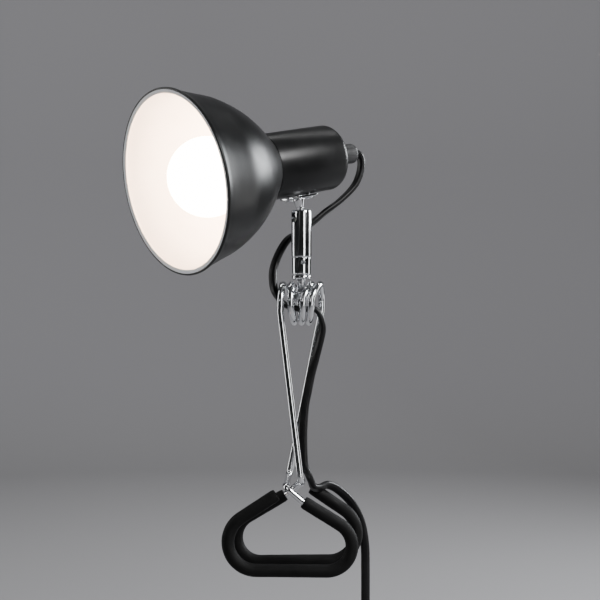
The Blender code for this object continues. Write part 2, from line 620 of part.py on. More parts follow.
def make_switch():
    x, y, z = SWITCH_CENTRE
    wide, deep, tall = SWITCH_SIZE
    for name, side in (("switch_rear_shell", 1), ("switch_front_shell", -1)):
        height = deep / 2 - GAP / 2
        middle = y + side * (GAP / 2 + height / 2)
        shell = add(name, box_mesh(name, (wide, height, tall), SWITCH_EDGE), "black_plastic",
                    location=(x, middle, z))
        inner = y + side * GAP / 2
        hollow = add(f"{name}_hollow", box_mesh(f"{name}_hollow", (wide - 4.0, 13.4, tall - 16.0)),
                     None, location=(x, inner, z))
        cut(shell, hollow)
        if side < 0:
            window = add("rocker_window", box_mesh("rocker_window", (11.4, 12.0, 21.4)), None,
                         location=(x, y - 8.0, z))
            cut(shell, window)
    make_rocker((x, y + ROCKER_PIVOT_Y, z))
    for name, offset in (("fixed_contact", 10.0), ("moving_contact", -10.0)):
        add(name, box_mesh(name, (6.0, 1.2, 8.0)), "brass",
            location=(x, y + 4.4, z + offset))
    for name, offset in (("switch_screw_top", 25.0), ("switch_screw_bottom", -25.0)):
        cutter = cutter_rod(f"{name}_hole", 1.9, 30.0, sides=16, location=(x, y, z + offset),
                            rotation=(math.pi / 2, 0.0, 0.0))
        cut(bpy.data.objects["switch_rear_shell"], cutter)
        cut(bpy.data.objects["switch_front_shell"], cutter)
        turned(name, [(0.0, 7.0), (1.4, 7.0), (1.5, 6.6), (1.5, -6.6), (1.3, -7.0), (0.0, -7.0)],
               "zinc_steel", steps=16, location=(x, y, z + offset),
               rotation=(math.pi / 2, 0.0, 0.0))


def make_rocker(pivot):
    """A rocker: a shallow V-topped block that tips about a pin along X."""
    mesh = bpy.data.meshes.new("switch_rocker")
    shape = bmesh.new()
    outline = [(-2.6, -9.4), (-6.2, -9.0), (-4.0, 0.0), (-2.4, 9.0), (0.6, 9.4), (2.0, 4.0),
               (2.4, 0.0), (2.0, -4.0)]
    corners = [shape.verts.new(point((-ROCKER_WIDTH / 2, across, along)))
               for across, along in outline]
    face = shape.faces.new(corners)
    moved = bmesh.ops.extrude_face_region(shape, geom=[face])
    bmesh.ops.translate(shape, vec=point((ROCKER_WIDTH, 0.0, 0.0)),
                        verts=[v for v in moved["geom"] if isinstance(v, bmesh.types.BMVert)])
    bmesh.ops.recalc_face_normals(shape, faces=shape.faces)
    shape.to_mesh(mesh)
    shape.free()
    add("switch_rocker", mesh, "black_plastic", location=pivot)


def make_plug():
    wide, deep, tall = PLUG_BODY
    start = Vector(PLUG_LEAD_ROUTE[-1])
    x = start.x - GAP - wide / 2
    body = add("plug_body", box_mesh("plug_body", (wide, deep, tall), 3.0), "black_plastic",
               location=(x, start.y, start.z))
    nose = x - wide / 2
    for name, side in (("plug_pin_upper", 1), ("plug_pin_lower", -1)):
        height = start.z + side * PLUG_PIN_SPREAD / 2
        along = (0.0, math.pi / 2, 0.0)
        cut(body, cutter_rod(f"{name}_socket", 2.3, 12.0, location=(nose, start.y, height),
                             rotation=along, sides=16))
        turned(name, [(0.0, 5.5), (1.9, 5.5), (2.0, 5.0), (2.0, -18.0), (1.2, -19.0), (0.0, -19.0)],
               "brass", steps=16, location=(nose, start.y, height), rotation=along)


def build():
    hinge = empty("jaw_axis", (0.0, 0.0, COIL_Z))
    make_coil()
    make_jaw("front", 1, hinge)
    make_jaw("rear", -1, hinge)
    make_stem(HEAD_YAW)
    pivot = empty("ball_pivot", (0.0, 0.0, BALL_Z), (0.0, HEAD_PITCH, HEAD_YAW))
    axis = empty("head_axis", (0.0, 0.0, HEAD_RISE), (0.0, math.pi / 2, 0.0), pivot)
    make_stud(pivot)
    make_plate(pivot)
    make_housing(axis)
    make_shade(axis)
    make_holder(axis)
    make_bulb(axis)
    make_gland(axis)
    make_cord()
    make_switch()
    make_plug()


build()
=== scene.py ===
"""Looks of the clip-on reading lamp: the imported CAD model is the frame, and each visible piece
is made again here with its fine surface and its material."""
import json
import math

import bmesh
import bpy
from mathutils import Matrix, Vector, noise


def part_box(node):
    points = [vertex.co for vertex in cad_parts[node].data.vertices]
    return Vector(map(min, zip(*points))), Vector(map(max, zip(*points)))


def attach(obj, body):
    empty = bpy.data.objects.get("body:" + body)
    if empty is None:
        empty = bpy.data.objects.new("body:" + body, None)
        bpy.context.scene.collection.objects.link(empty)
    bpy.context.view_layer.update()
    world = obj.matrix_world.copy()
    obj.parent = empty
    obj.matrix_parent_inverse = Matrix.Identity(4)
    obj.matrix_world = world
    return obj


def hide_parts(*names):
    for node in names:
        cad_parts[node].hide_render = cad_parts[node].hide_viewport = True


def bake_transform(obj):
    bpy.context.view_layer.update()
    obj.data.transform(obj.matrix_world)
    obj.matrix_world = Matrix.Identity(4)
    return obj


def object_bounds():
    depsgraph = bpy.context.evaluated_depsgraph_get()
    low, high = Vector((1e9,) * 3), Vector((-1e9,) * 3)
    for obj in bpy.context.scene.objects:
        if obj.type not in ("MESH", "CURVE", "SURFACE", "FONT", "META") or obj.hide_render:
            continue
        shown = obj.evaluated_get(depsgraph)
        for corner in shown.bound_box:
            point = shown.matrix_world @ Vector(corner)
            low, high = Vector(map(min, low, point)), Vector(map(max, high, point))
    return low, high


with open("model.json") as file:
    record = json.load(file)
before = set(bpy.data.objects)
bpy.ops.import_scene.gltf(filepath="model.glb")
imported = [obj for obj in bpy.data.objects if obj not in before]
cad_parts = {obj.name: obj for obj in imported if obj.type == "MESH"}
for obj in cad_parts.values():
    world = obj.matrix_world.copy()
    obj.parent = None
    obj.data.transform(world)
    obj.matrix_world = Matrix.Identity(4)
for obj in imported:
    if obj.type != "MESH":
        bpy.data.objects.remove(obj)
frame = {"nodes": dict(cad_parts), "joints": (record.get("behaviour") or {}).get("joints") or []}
CAD_BOX = [list(corner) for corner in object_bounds()]
MM = 0.001

JOINTS = {joint["name"]: joint for joint in frame["joints"]}
BALL = Vector(JOINTS["head_tilt"]["pos_m"])
COIL = Vector(JOINTS["front_jaw_open"]["pos_m"])
STUD_UP = Vector(JOINTS["head_spin"]["axis"]).normalized()
TILT_AXIS = Vector(JOINTS["head_tilt"]["axis"]).normalized()
NOSE = TILT_AXIS.cross(STUD_UP).normalized()
if NOSE.x > 0:
    NOSE = -NOSE
NOSE_LEVEL = Vector((NOSE.x, NOSE.y, 0.0)).normalized()

# clamp wire, as in the CAD model, in mm
WIRE_RADIUS = 2.0
COIL_RADIUS = 11.3
COIL_OFFSETS = (0.0, -0.9, -5.9, -6.3, -4.35, -5.6, -10.9, -12.1)
LEAN = 0.038
LEG_SPREAD = 16.2
LEG_FOOT_X = 3.6
LEG_FOOT_DROP = 103.5
JAW_Y = 13.5
JAW_CORNER = (5.2, 106.2)
JAW_START = (4.3, 114.1)
JAW_RIGHT = (72.3, 155.2)
JAW_LEFT = (-75.0, 153.8)
JAW_END = (-10.3, 110.7)
JAW_RIGHT_RADIUS = 14.5
JAW_LEFT_RADIUS = 16.5
SLEEVE_RADIUS = 3.75
SLEEVE_BORE = 2.35
SLEEVE_EDGE = 0.35
COIL_STEPS = 105

# stem, by height
BASE_TOP = 181.5
BASE_BOTTOM = 171.7
GRUB_AT = 178.8
COLLAR_TOP = 171.4
COLLAR_BOTTOM = 168.7
WASHER_FACE = 160.8

# head, measured along its axis from the stud
HEAD_RISE = 30.8
RIM_AT = 84.8
SHADE_OUTLINE = ((0.0, 51.4), (8.0, 48.9), (16.0, 46.8), (24.0, 44.7), (32.0, 41.3), (40.0, 36.9),
                 (46.0, 32.7), (51.0, 28.7), (55.0, 25.0), (58.0, 22.1), (60.0, 20.2), (61.2, 19.3))
SHADE_WALL = 0.9
LIP_DEPTH = 3.2
HOUSING_RADIUS = 19.3
HOUSING_FRONT = 23.3
HOUSING_BACK = -28.2
HOUSING_ROUND = 4.6
GLAND_LENGTH = 18.0
HOUSING_WALL = 1.2
PLATE_TOP = HEAD_RISE - HOUSING_RADIUS - 0.3
PLATE_SIZE = (21.4, 9.0, 1.1)
PLATE_SCREW_AT = 7.4
BALL_RADIUS = 4.2
BULB_AT = 61.7
BULB_RADIUS = 22.4

# cord: a flat two-core lead
CORD_WIDTH = 5.4
CORD_THICK = 3.5
CORD_LAYER = 3.6
CORD_HOLE = 2.9
CORD_CUTS = (0.36, 0.68)
RING_RADIUS = 30.0
RING_TURNS = 5
LOOP_ROUTE = ((31.9, 25.2, 246.2), (33.8, 26.6, 246.3), (35.6, 27.8, 244.7), (36.5, 28.4, 241.5),
              (36.3, 28.4, 237.0), (34.6, 27.6, 230.9), (31.0, 26.0, 224.7), (22.9, 22.0, 216.5),
              (13.9, 18.0, 209.5), (7.2, 15.2, 203.7), (-2.0, 13.2, 197.0), (-8.4, 12.0, 192.5),
              (-13.3, 10.0, 184.7), (-16.5, 6.8, 175.8), (-16.9, 3.6, 168.6), (-15.3, 1.0, 161.0))
DROP_ROUTE = ((-14.9, 0.7, 160.0), (-9.5, 0.0, 153.9), (0.0, 0.0, 151.2), (7.4, 0.6, 151.4),
              (11.0, 1.0, 147.6), (12.4, 1.6, 141.0), (11.3, 2.6, 134.0), (8.2, 4.0, 121.9),
              (5.6, 4.8, 112.5), (3.7, 5.0, 103.0), (1.9, 4.8, 93.6), (0.9, 4.2, 79.5),
              (1.0, 3.6, 66.0), (1.7, 3.2, 58.8), (4.0, 3.2, 53.8), (5.6, 3.6, 49.8),
              (7.2, 4.8, 46.0), (10.8, 8.0, 45.0), (15.5, 13.2, 46.0), (22.0, 18.6, 42.3),
              (30.0, 22.6, 34.0), (36.0, 25.2, 22.0), (38.6, 26.0, 8.0), (39.0, 26.0, -8.0),
              (39.0, 26.0, -32.7))
TAIL_ROUTE = ((39.0, 26.0, -91.3), (39.0, 26.0, -97.5), (39.9, 26.0, -103.5), (41.6, 26.0, -107.8))
PLUG_LEAD_ROUTE = ((57.5, 34.2, -169.6), (52.5, 36.9, -173.4), (46.0, 39.2, -175.3),
                   (43.0, 39.4, -175.4), (40.0, 39.4, -175.4))


def mm(values):
    return Vector(values) * MM


# ---- camera, stage and light ----

def add_object(name, data):
    made = bpy.data.objects.new(name, data)
    bpy.context.scene.collection.objects.link(made)
    return made


def make_camera():
    lens = bpy.data.cameras.new("camera")
    lens.sensor_width = 36.0
    lens.lens = 73.44
    lens.clip_start = 0.01
    lens.clip_end = 30.0
    camera = add_object("camera", lens)
    camera.location = mm((-0.88, -720.0, 156.7))
    camera.rotation_euler = (math.pi / 2, 0.0, 0.0)
    bpy.context.scene.camera = camera


def area_light(name, place, target, size, watts):
    lamp = bpy.data.lights.new(name, "AREA")
    lamp.shape = "RECTANGLE"
    lamp.size, lamp.size_y = size
    lamp.energy = watts
    made = add_object(name, lamp)
    made.location = place
    made.rotation_euler = (Vector(target) - Vector(place)).to_track_quat("-Z", "Y").to_euler()


make_camera()


# ---- mesh tools ----

def mesh_object(name, shape, smooth_angle=40.0):
    bmesh.ops.recalc_face_normals(shape, faces=shape.faces)
    mesh = bpy.data.meshes.new(name)
    shape.to_mesh(mesh)
    shape.free()
    mesh.shade_smooth()
    mesh.set_sharp_from_angle(angle=math.radians(smooth_angle))
    return add_object(name, mesh)


def eased(profile, radius, steps=3):
    """The profile with its inner corners rounded, each by as much as its two sides allow."""
    points = [Vector(p) for p in profile]
    made = [points[0]]
    for before, corner, after in zip(points, points[1:], points[2:]):
        back, ahead = before - corner, after - corner
        if back.length < 1e-6 or ahead.length < 1e-6:
            continue
        if back.angle(ahead) > math.radians(155):
            made.append(corner)
            continue
        reach = min(radius, back.length * 0.4, ahead.length * 0.4)
        start, stop = corner + back.normalized() * reach, corner + ahead.normalized() * reach
        for k in range(steps + 1):
            t = k / steps
            made.append(start * (1 - t) ** 2 + corner * 2 * t * (1 - t) + stop * t ** 2)
    made.append(points[-1])
    return [tuple(p) for p in made]


def turned(name, profile, matrix, steps=96, closed=False, material_of=None):
    """Turn (radius, height) points in mm about Z and place the piece by matrix."""
    shape = bmesh.new()
    rings = []
    for radius, height in profile:
        if radius < 1e-6:
            rings.append([shape.verts.new((0.0, 0.0, height * MM))] * steps)
            continue
        rings.append([shape.verts.new((radius * MM * math.cos(a), radius * MM * math.sin(a),
                                       height * MM))
                      for a in (2 * math.pi * k / steps for k in range(steps))])
    pairs = list(zip(rings, rings[1:])) + ([(rings[-1], rings[0])] if closed else [])
    for row, (upper, lower) in enumerate(pairs):
        for k in range(steps):
            corners = [upper[k], upper[(k + 1) % steps], lower[(k + 1) % steps], lower[k]]
            unique = list(dict.fromkeys(corners))
            if len(unique) > 2:
                face = shape.faces.new(unique)
                face.material_index = material_of(row) if material_of else 0
    shape.transform(matrix)
    return mesh_object(name, shape)


def drill(name, radius, reach, matrix, steps=32):
    """A cylinder to cut a hole with: reach is how far it goes either way along Z, in mm."""
    return turned(name, [(0.0, reach), (radius, reach), (radius, -reach), (0.0, -reach)],
                  matrix, steps)


def circle_section(radius, sides):
    return [(radius * math.cos(a), radius * math.sin(a))
            for a in (2 * math.pi * k / sides for k in range(sides))]


def flat_section(width, thick, sides=7):
    """A flat lead's cross-section: two round edges joined by flats, faintly waisted."""
    half = (width - thick) / 2
    made = []
    for side in (1, -1):
        for k in range(sides):
            angle = (-90 + 180 * k / (sides - 1)) * math.pi / 180
            made.append((side * (half + thick / 2 * math.cos(angle)),
                         side * thick / 2 * math.sin(angle)))
        made.append((0.0, side * thick * 0.465))
    return made


def tangents_of(path):
    last = len(path) - 1
    return [(path[min(k + 1, last)] - path[max(k - 1, 0)]).normalized() for k in range(last + 1)]


def bridge(shape, low, high, flip=False):
    """Join two rings of as many points by a band of faces."""
    size = len(low)
    for k in range(size):
        corners = [low[k], low[(k + 1) % size], high[(k + 1) % size], high[k]]
        shape.faces.new(corners[::-1] if flip else corners)


def sweep(name, path, section, widths=None, tangents=None):
    """A solid swept along path (metres). widths gives the section's first axis at each point."""
    count = len(path)
    tangents = tangents or tangents_of(path)
    shape = bmesh.new()
    rings = []
    across = widths[0] if widths else tangents[0].orthogonal()
    for k in range(count):
        across = widths[k] if widths else across
        across = (across - tangents[k] * across.dot(tangents[k])).normalized()
        up = tangents[k].cross(across)
        rings.append([shape.verts.new(path[k] + (across * u + up * v) * MM)
                      for u, v in section])
    for low, high in zip(rings, rings[1:]):
        bridge(shape, low, high)
    shape.faces.new(rings[0][::-1])
    shape.faces.new(rings[-1])
    return mesh_object(name, shape, 50.0)


def smooth(points, spacing):
    """Points at an even spacing along a Catmull-Rom curve through the route's own points."""
    ends = [points[0], *points, points[-1]]
    dense = []
    for before, start, stop, after in zip(ends, ends[1:], ends[2:], ends[3:]):
        p0, p1, p2, p3 = (Vector(p) for p in (before, start, stop, after))
        for k in range(16):
            t = k / 16
            dense.append(0.5 * (2 * p1 + (p2 - p0) * t + (2 * p0 - 5 * p1 + 4 * p2 - p3) * t ** 2
                                + (3 * p1 - p0 - 3 * p2 + p3) * t ** 3))
    dense.append(Vector(points[-1]))
    run = [0.0]
    for a, b in zip(dense, dense[1:]):
        run.append(run[-1] + (b - a).length)
    count = max(2, round(run[-1] / spacing))
    found = []
    at = 0
    for k in range(count + 1):
        want = run[-1] * k / count
        while at < len(run) - 2 and run[at + 1] < want:
            at += 1
        share = (want - run[at]) / max(run[at + 1] - run[at], 1e-9)
        found.append(dense[at].lerp(dense[at + 1], min(share, 1.0)))
    return found


def length_of(path):
    return sum((b - a).length for a, b in zip(path, path[1:]))


def filleted(corners, step_deg=7.5):
    """A path through corners given as (point, radius), each corner rounded to its radius."""
    path = [Vector(corners[0][0])]
    for (before, _), (corner, radius), (after, _) in zip(corners, corners[1:], corners[2:]):
        corner = Vector(corner)
        back = (Vector(before) - corner).normalized()
        ahead = (Vector(after) - corner).normalized()
        half = back.angle(ahead) / 2
        reach = radius / math.tan(half)
        centre = corner + (back + ahead).normalized() * (radius / math.sin(half))
        start = corner + back * reach - centre
        turn = math.pi - 2 * half
        steps = max(2, math.ceil(math.degrees(turn) / step_deg))
        spin_axis = start.cross(corner + ahead * reach - centre).normalized()
        for k in range(steps + 1):
            path.append(centre + Matrix.Rotation(turn * k / steps, 3, spin_axis) @ start)
    path.append(Vector(corners[-1][0]))
    return path


def subdivided(path, longest):
    made = [path[0]]
    for a, b in zip(path, path[1:]):
        pieces = max(1, math.ceil((b - a).length / longest))
        made.extend(a.lerp(b, k / pieces) for k in range(1, pieces + 1))
    return made


def rounded_box(name, size, bevel, segments=4, taper=None):
    shape = bmesh.new()
    bmesh.ops.create_cube(shape, size=1.0)
    bmesh.ops.scale(shape, vec=mm(size), verts=shape.verts)
    if taper:
        for vertex in shape.verts:
            taper(vertex)
    bmesh.ops.bevel(shape, geom=shape.edges, offset=bevel * MM, segments=segments, profile=0.5,
                    affect="EDGES", clamp_overlap=True)
    return mesh_object(name, shape, 45.0)


def cut(target, *cutters):
    """Cut target by the cutters and keep the result as its plain mesh."""
    for cutter in cutters:
        knife = target.modifiers.new("cut", "BOOLEAN")
        knife.operation = "DIFFERENCE"
        knife.solver = "EXACT"
        knife.object = cutter
    bpy.context.view_layer.update()
    mesh = bpy.data.meshes.new_from_object(
        target.evaluated_get(bpy.context.evaluated_depsgraph_get()))
    target.modifiers.clear()
    target.data = mesh
    mesh.shade_smooth()
    mesh.set_sharp_from_angle(angle=math.radians(40.0))
    for cutter in cutters:
        bpy.data.objects.remove(cutter, do_unlink=True)
    return target


def placed(location, x_axis, z_axis):
    """A matrix with its Z along z_axis and its X as near x_axis as that allows."""
    z = Vector(z_axis).normalized()
    x = (Vector(x_axis) - z * Vector(x_axis).dot(z)).normalized()
    y = z.cross(x)
    made = Matrix((x, y, z)).transposed().to_4x4()
    made.translation = location
    return made


PIVOT = placed(BALL, NOSE, STUD_UP)
AXIS = placed(BALL + STUD_UP * HEAD_RISE * MM, -STUD_UP, NOSE)
UPRIGHT = Matrix.Identity(4)


# ---- materials ----

def node(tree, kind, **values):
    made = tree.nodes.new(kind)
    for key, value in values.items():
        if hasattr(made, key):
            setattr(made, key, value)
        else:
            made.inputs[key.replace("_", " ")].default_value = value
    return made


def start_material(name, colour, roughness, metallic=0.0, **shader_values):
    made = bpy.data.materials.new(name)
    made.use_nodes = True
    tree = made.node_tree
    shader = tree.nodes["Principled BSDF"]
    shader.inputs["Base Color"].default_value = (*colour, 1.0)
    shader.inputs["Roughness"].default_value = roughness
    shader.inputs["Metallic"].default_value = metallic
    for key, value in shader_values.items():
        shader.inputs[key.replace("_", " ")].default_value = value
    coords = node(tree, "ShaderNodeTexCoord")
    return made, tree, shader, coords.outputs["Object"]


def noise_value(tree, coords, scale, detail=3.0, roughness=0.55):
    made = node(tree, "ShaderNodeTexNoise", Scale=scale, Detail=detail, Roughness=roughness)
    tree.links.new(coords, made.inputs["Vector"])
    return made.outputs["Fac"]


def spread(tree, value, low, high, start=0.3, stop=0.7):
    """Map a 0 to 1 noise value to the range from low to high."""
    made = node(tree, "ShaderNodeMapRange")
    made.inputs["From Min"].default_value = start
    made.inputs["From Max"].default_value = stop
    made.inputs["To Min"].default_value = low
    made.inputs["To Max"].default_value = high
    tree.links.new(value, made.inputs["Value"])
    return made.outputs["Result"]


def uneven_gloss(tree, shader, value, low, high):
    tree.links.new(spread(tree, value, low, high), shader.inputs["Roughness"])


def tint(tree, shader, value, first, second):
    ramp = node(tree, "ShaderNodeValToRGB")
    ramp.color_ramp.elements[0].position = 0.3
    ramp.color_ramp.elements[0].color = (*first, 1.0)
    ramp.color_ramp.elements[1].position = 0.7
    ramp.color_ramp.elements[1].color = (*second, 1.0)
    tree.links.new(value, ramp.inputs["Fac"])
    tree.links.new(ramp.outputs["Color"], shader.inputs["Base Color"])


def mixed(tree, factor, first, second):
    """Blend two colours, each an RGB triple or an output socket, by factor."""
    made = node(tree, "ShaderNodeMix", data_type="RGBA")
    colours = [socket for socket in made.inputs if socket.type == "RGBA"]
    tree.links.new(factor, made.inputs["Factor"])
    for socket, colour in zip(colours, (first, second)):
        if isinstance(colour, tuple):
            socket.default_value = (*colour, 1.0)
        else:
            tree.links.new(colour, socket)
    return next(socket for socket in made.outputs if socket.type == "RGBA")


def bump(tree, shader, layers):
    """Chain bumps: each layer is (height value, depth in metres, strength)."""
    last = None
    for value, depth, strength in layers:
        made = node(tree, "ShaderNodeBump", Strength=strength, Distance=depth)
        tree.links.new(value, made.inputs["Height"])
        if last:
            tree.links.new(last, made.inputs["Normal"])
        last = made.outputs["Normal"]
    tree.links.new(last, shader.inputs["Normal"])


def chrome():
    """Bright plate over drawn wire: faint haze, hairline marks and a few dull spots."""
    made, tree, shader, coords = start_material("chrome_plate", (0.80, 0.81, 0.82), 0.1, 1.0)
    haze = noise_value(tree, coords, 160.0, 4.0)
    uneven_gloss(tree, shader, haze, 0.07, 0.17)
    tint(tree, shader, noise_value(tree, coords, 60.0), (0.74, 0.75, 0.77), (0.84, 0.85, 0.86))
    stretch = node(tree, "ShaderNodeMapping")
    stretch.inputs["Scale"].default_value = (1.0, 1.0, 0.08)
    tree.links.new(coords, stretch.inputs["Vector"])
    hairs = noise_value(tree, stretch.outputs["Vector"], 2600.0, 2.0)
    bump(tree, shader, [(hairs, 0.00003, 0.10), (noise_value(tree, coords, 420.0), 0.0001, 0.05)])
    return made


def zinc():
    made, tree, shader, coords = start_material("zinc_plate", (0.62, 0.63, 0.66), 0.32, 1.0)
    blotch = noise_value(tree, coords, 300.0, 5.0)
    uneven_gloss(tree, shader, blotch, 0.24, 0.42)
    tint(tree, shader, blotch, (0.52, 0.53, 0.57), (0.70, 0.70, 0.70))
    bump(tree, shader, [(noise_value(tree, coords, 1800.0), 0.00005, 0.15)])
    return made


def black_lacquer():
    """Satin black stove enamel: fine orange peel, and a little dust that lightens it."""
    made, tree, shader, coords = start_material(
        "black_lacquer", (0.006, 0.006, 0.006), 0.33, Specular_IOR_Level=0.22)
    cloud = noise_value(tree, coords, 38.0, 4.0)
    tint(tree, shader, cloud, (0.0048, 0.0049, 0.005), (0.0078, 0.008, 0.0083))
    uneven_gloss(tree, shader, noise_value(tree, coords, 90.0, 5.0), 0.28, 0.38)
    bump(tree, shader, [(noise_value(tree, coords, 1500.0, 2.0), 0.00006, 0.22),
                        (noise_value(tree, coords, 260.0, 2.0), 0.0001, 0.06)])
    return made


def white_lacquer():
    """The shade's inside: white enamel, thin and a little uneven, with a peach tint that is painted
    warm light from the bulb.
    """
    # painted light: the base colour and the tints below are warmed to peach for the bulb's warm
    # light on the white enamel
    made, tree, shader, coords = start_material(
        "white_lacquer", (0.84, 0.76, 0.69), 0.48, Specular_IOR_Level=0.4)
    tint(tree, shader, noise_value(tree, coords, 45.0, 4.0), (0.82, 0.73, 0.66),
         (0.87, 0.79, 0.72))
    uneven_gloss(tree, shader, noise_value(tree, coords, 110.0), 0.42, 0.56)
    bump(tree, shader, [(noise_value(tree, coords, 1400.0, 2.0), 0.00005, 0.18)])
    return made


def painted_lit_lip():
    # painted light: the lip's face gets a paler, bluer white than the inside, standing in for the
    # light that falls on it
    made, tree, shader, coords = start_material("painted_lit_lip", (0.88, 0.92, 0.95), 0.4)
    tint(tree, shader, noise_value(tree, coords, 70.0, 4.0), (0.86, 0.90, 0.94),
         (0.92, 0.95, 0.98))
    bump(tree, shader, [(noise_value(tree, coords, 1400.0, 2.0), 0.00005, 0.18)])
    return made


def rubber():
    """Matt black rubber hose, with a moulded skin, fine pits and pale scuffs."""
    made, tree, shader, coords = start_material(
        "rubber_hose", (0.003, 0.003, 0.003), 0.62, Specular_IOR_Level=0.14)
    scuff = noise_value(tree, coords, 130.0, 6.0, 0.7)
    tint(tree, shader, scuff, (0.0022, 0.0022, 0.0022), (0.006, 0.006, 0.006))
    uneven_gloss(tree, shader, scuff, 0.5, 0.72)
    bump(tree, shader, [(noise_value(tree, coords, 3200.0, 3.0), 0.00007, 0.3),
                        (noise_value(tree, coords, 500.0, 2.0), 0.00012, 0.12)])
    return made


def cord_pvc():
    made, tree, shader, coords = start_material(
        "cord_pvc", (0.005, 0.005, 0.0055), 0.36, Specular_IOR_Level=0.24)
    soft = noise_value(tree, coords, 80.0, 5.0)
    tint(tree, shader, soft, (0.004, 0.004, 0.0045), (0.008, 0.008, 0.0085))
    uneven_gloss(tree, shader, soft, 0.28, 0.42)
    bump(tree, shader, [(noise_value(tree, coords, 1300.0, 3.0), 0.00006, 0.16),
                        (noise_value(tree, coords, 180.0, 2.0), 0.0002, 0.10)])
    return made


def moulded(name, dark, light, roughness, grain=2400.0):
    """A plastic moulding with spark-eroded grain."""
    made, tree, shader, coords = start_material(name, light, roughness)
    cloud = noise_value(tree, coords, 120.0, 5.0)
    tint(tree, shader, cloud, dark, light)
    uneven_gloss(tree, shader, cloud, roughness - 0.07, roughness + 0.07)
    bump(tree, shader, [(noise_value(tree, coords, grain, 3.0), 0.00006, 0.3)])
    return made


def brass(name, dark, light, roughness):
    made, tree, shader, coords = start_material(name, light, roughness, 1.0)
    cloud = noise_value(tree, coords, 200.0, 5.0)
    tint(tree, shader, cloud, dark, light)
    uneven_gloss(tree, shader, cloud, roughness - 0.06, roughness + 0.12)
    bump(tree, shader, [(noise_value(tree, coords, 2000.0, 2.0), 0.00004, 0.2)])
    return made


def lit_opal():
    """Opal bulb, lit: warm white, its colour faintly uneven."""
    made, tree, shader, coords = start_material(
        "lit_opal", (0.95, 0.93, 0.90), 0.3, Emission_Strength=28.0)
    soft = noise_value(tree, coords, 90.0, 2.0)
    tint(tree, shader, soft, (0.93, 0.91, 0.88), (0.97, 0.95, 0.92))
    shader.inputs["Emission Color"].default_value = (1.0, 0.80, 0.64, 1.0)
    uneven_gloss(tree, shader, soft, 0.28, 0.36)
    return made


CHROME = chrome()
ZINC = zinc()
LACQUER = black_lacquer()
WHITE = white_lacquer()
RIM = painted_lit_lip()
RUBBER = rubber()
PVC = cord_pvc()
BLACK_PLASTIC = moulded("black_moulding", (0.016, 0.016, 0.017), (0.03, 0.03, 0.032), 0.45)
PALE_PLASTIC = moulded("pale_moulding", (0.72, 0.70, 0.65), (0.82, 0.80, 0.75), 0.42)
WHITE_PLASTIC = moulded("white_moulding", (0.84, 0.83, 0.80), (0.90, 0.89, 0.87), 0.38)
BRASS = brass("plain_brass", (0.60, 0.44, 0.20), (0.75, 0.58, 0.30), 0.28)
NICKEL = brass("nickel_plate", (0.68, 0.66, 0.61), (0.82, 0.80, 0.76), 0.22)
OPAL = lit_opal()


def finish_piece(piece, material, body, slot, *nodes):
    """Give a piece its material and its CAD body, and hide the CAD nodes that it stands for. The
    slot argument is not used.
    """
    if not piece.data.materials:
        piece.data.materials.append(material)
    if body:
        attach(piece, body)
    if nodes:
        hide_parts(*nodes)
    return piece


# ---- cord ----

def width_vectors(path, hints):
    """The flat side's direction at each point, eased from each hint to the next."""
    found = []
    marks = []
    for place, vector in hints:
        near = min(range(len(path)), key=lambda k: (path[k] / MM - Vector(place)).length)
        marks.append((near, Vector(vector)))
    for k in range(len(path)):
        low = max((m for m in marks if m[0] <= k), key=lambda m: m[0], default=marks[0])
        high = min((m for m in marks if m[0] >= k), key=lambda m: m[0], default=marks[-1])
        gap = high[0] - low[0]
        t = (k - low[0]) / gap if gap else 0.0
        t = t * t * (3 - 2 * t)
        found.append(low[1].lerp(high[1], t))
    return found


def cord_piece(name, path, widths, tangents, nodes):
    piece = sweep(name, path, flat_section(CORD_WIDTH, CORD_THICK), widths, tangents)
    piece.data.materials.append(PVC)
    if nodes:
        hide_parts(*nodes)
    return piece


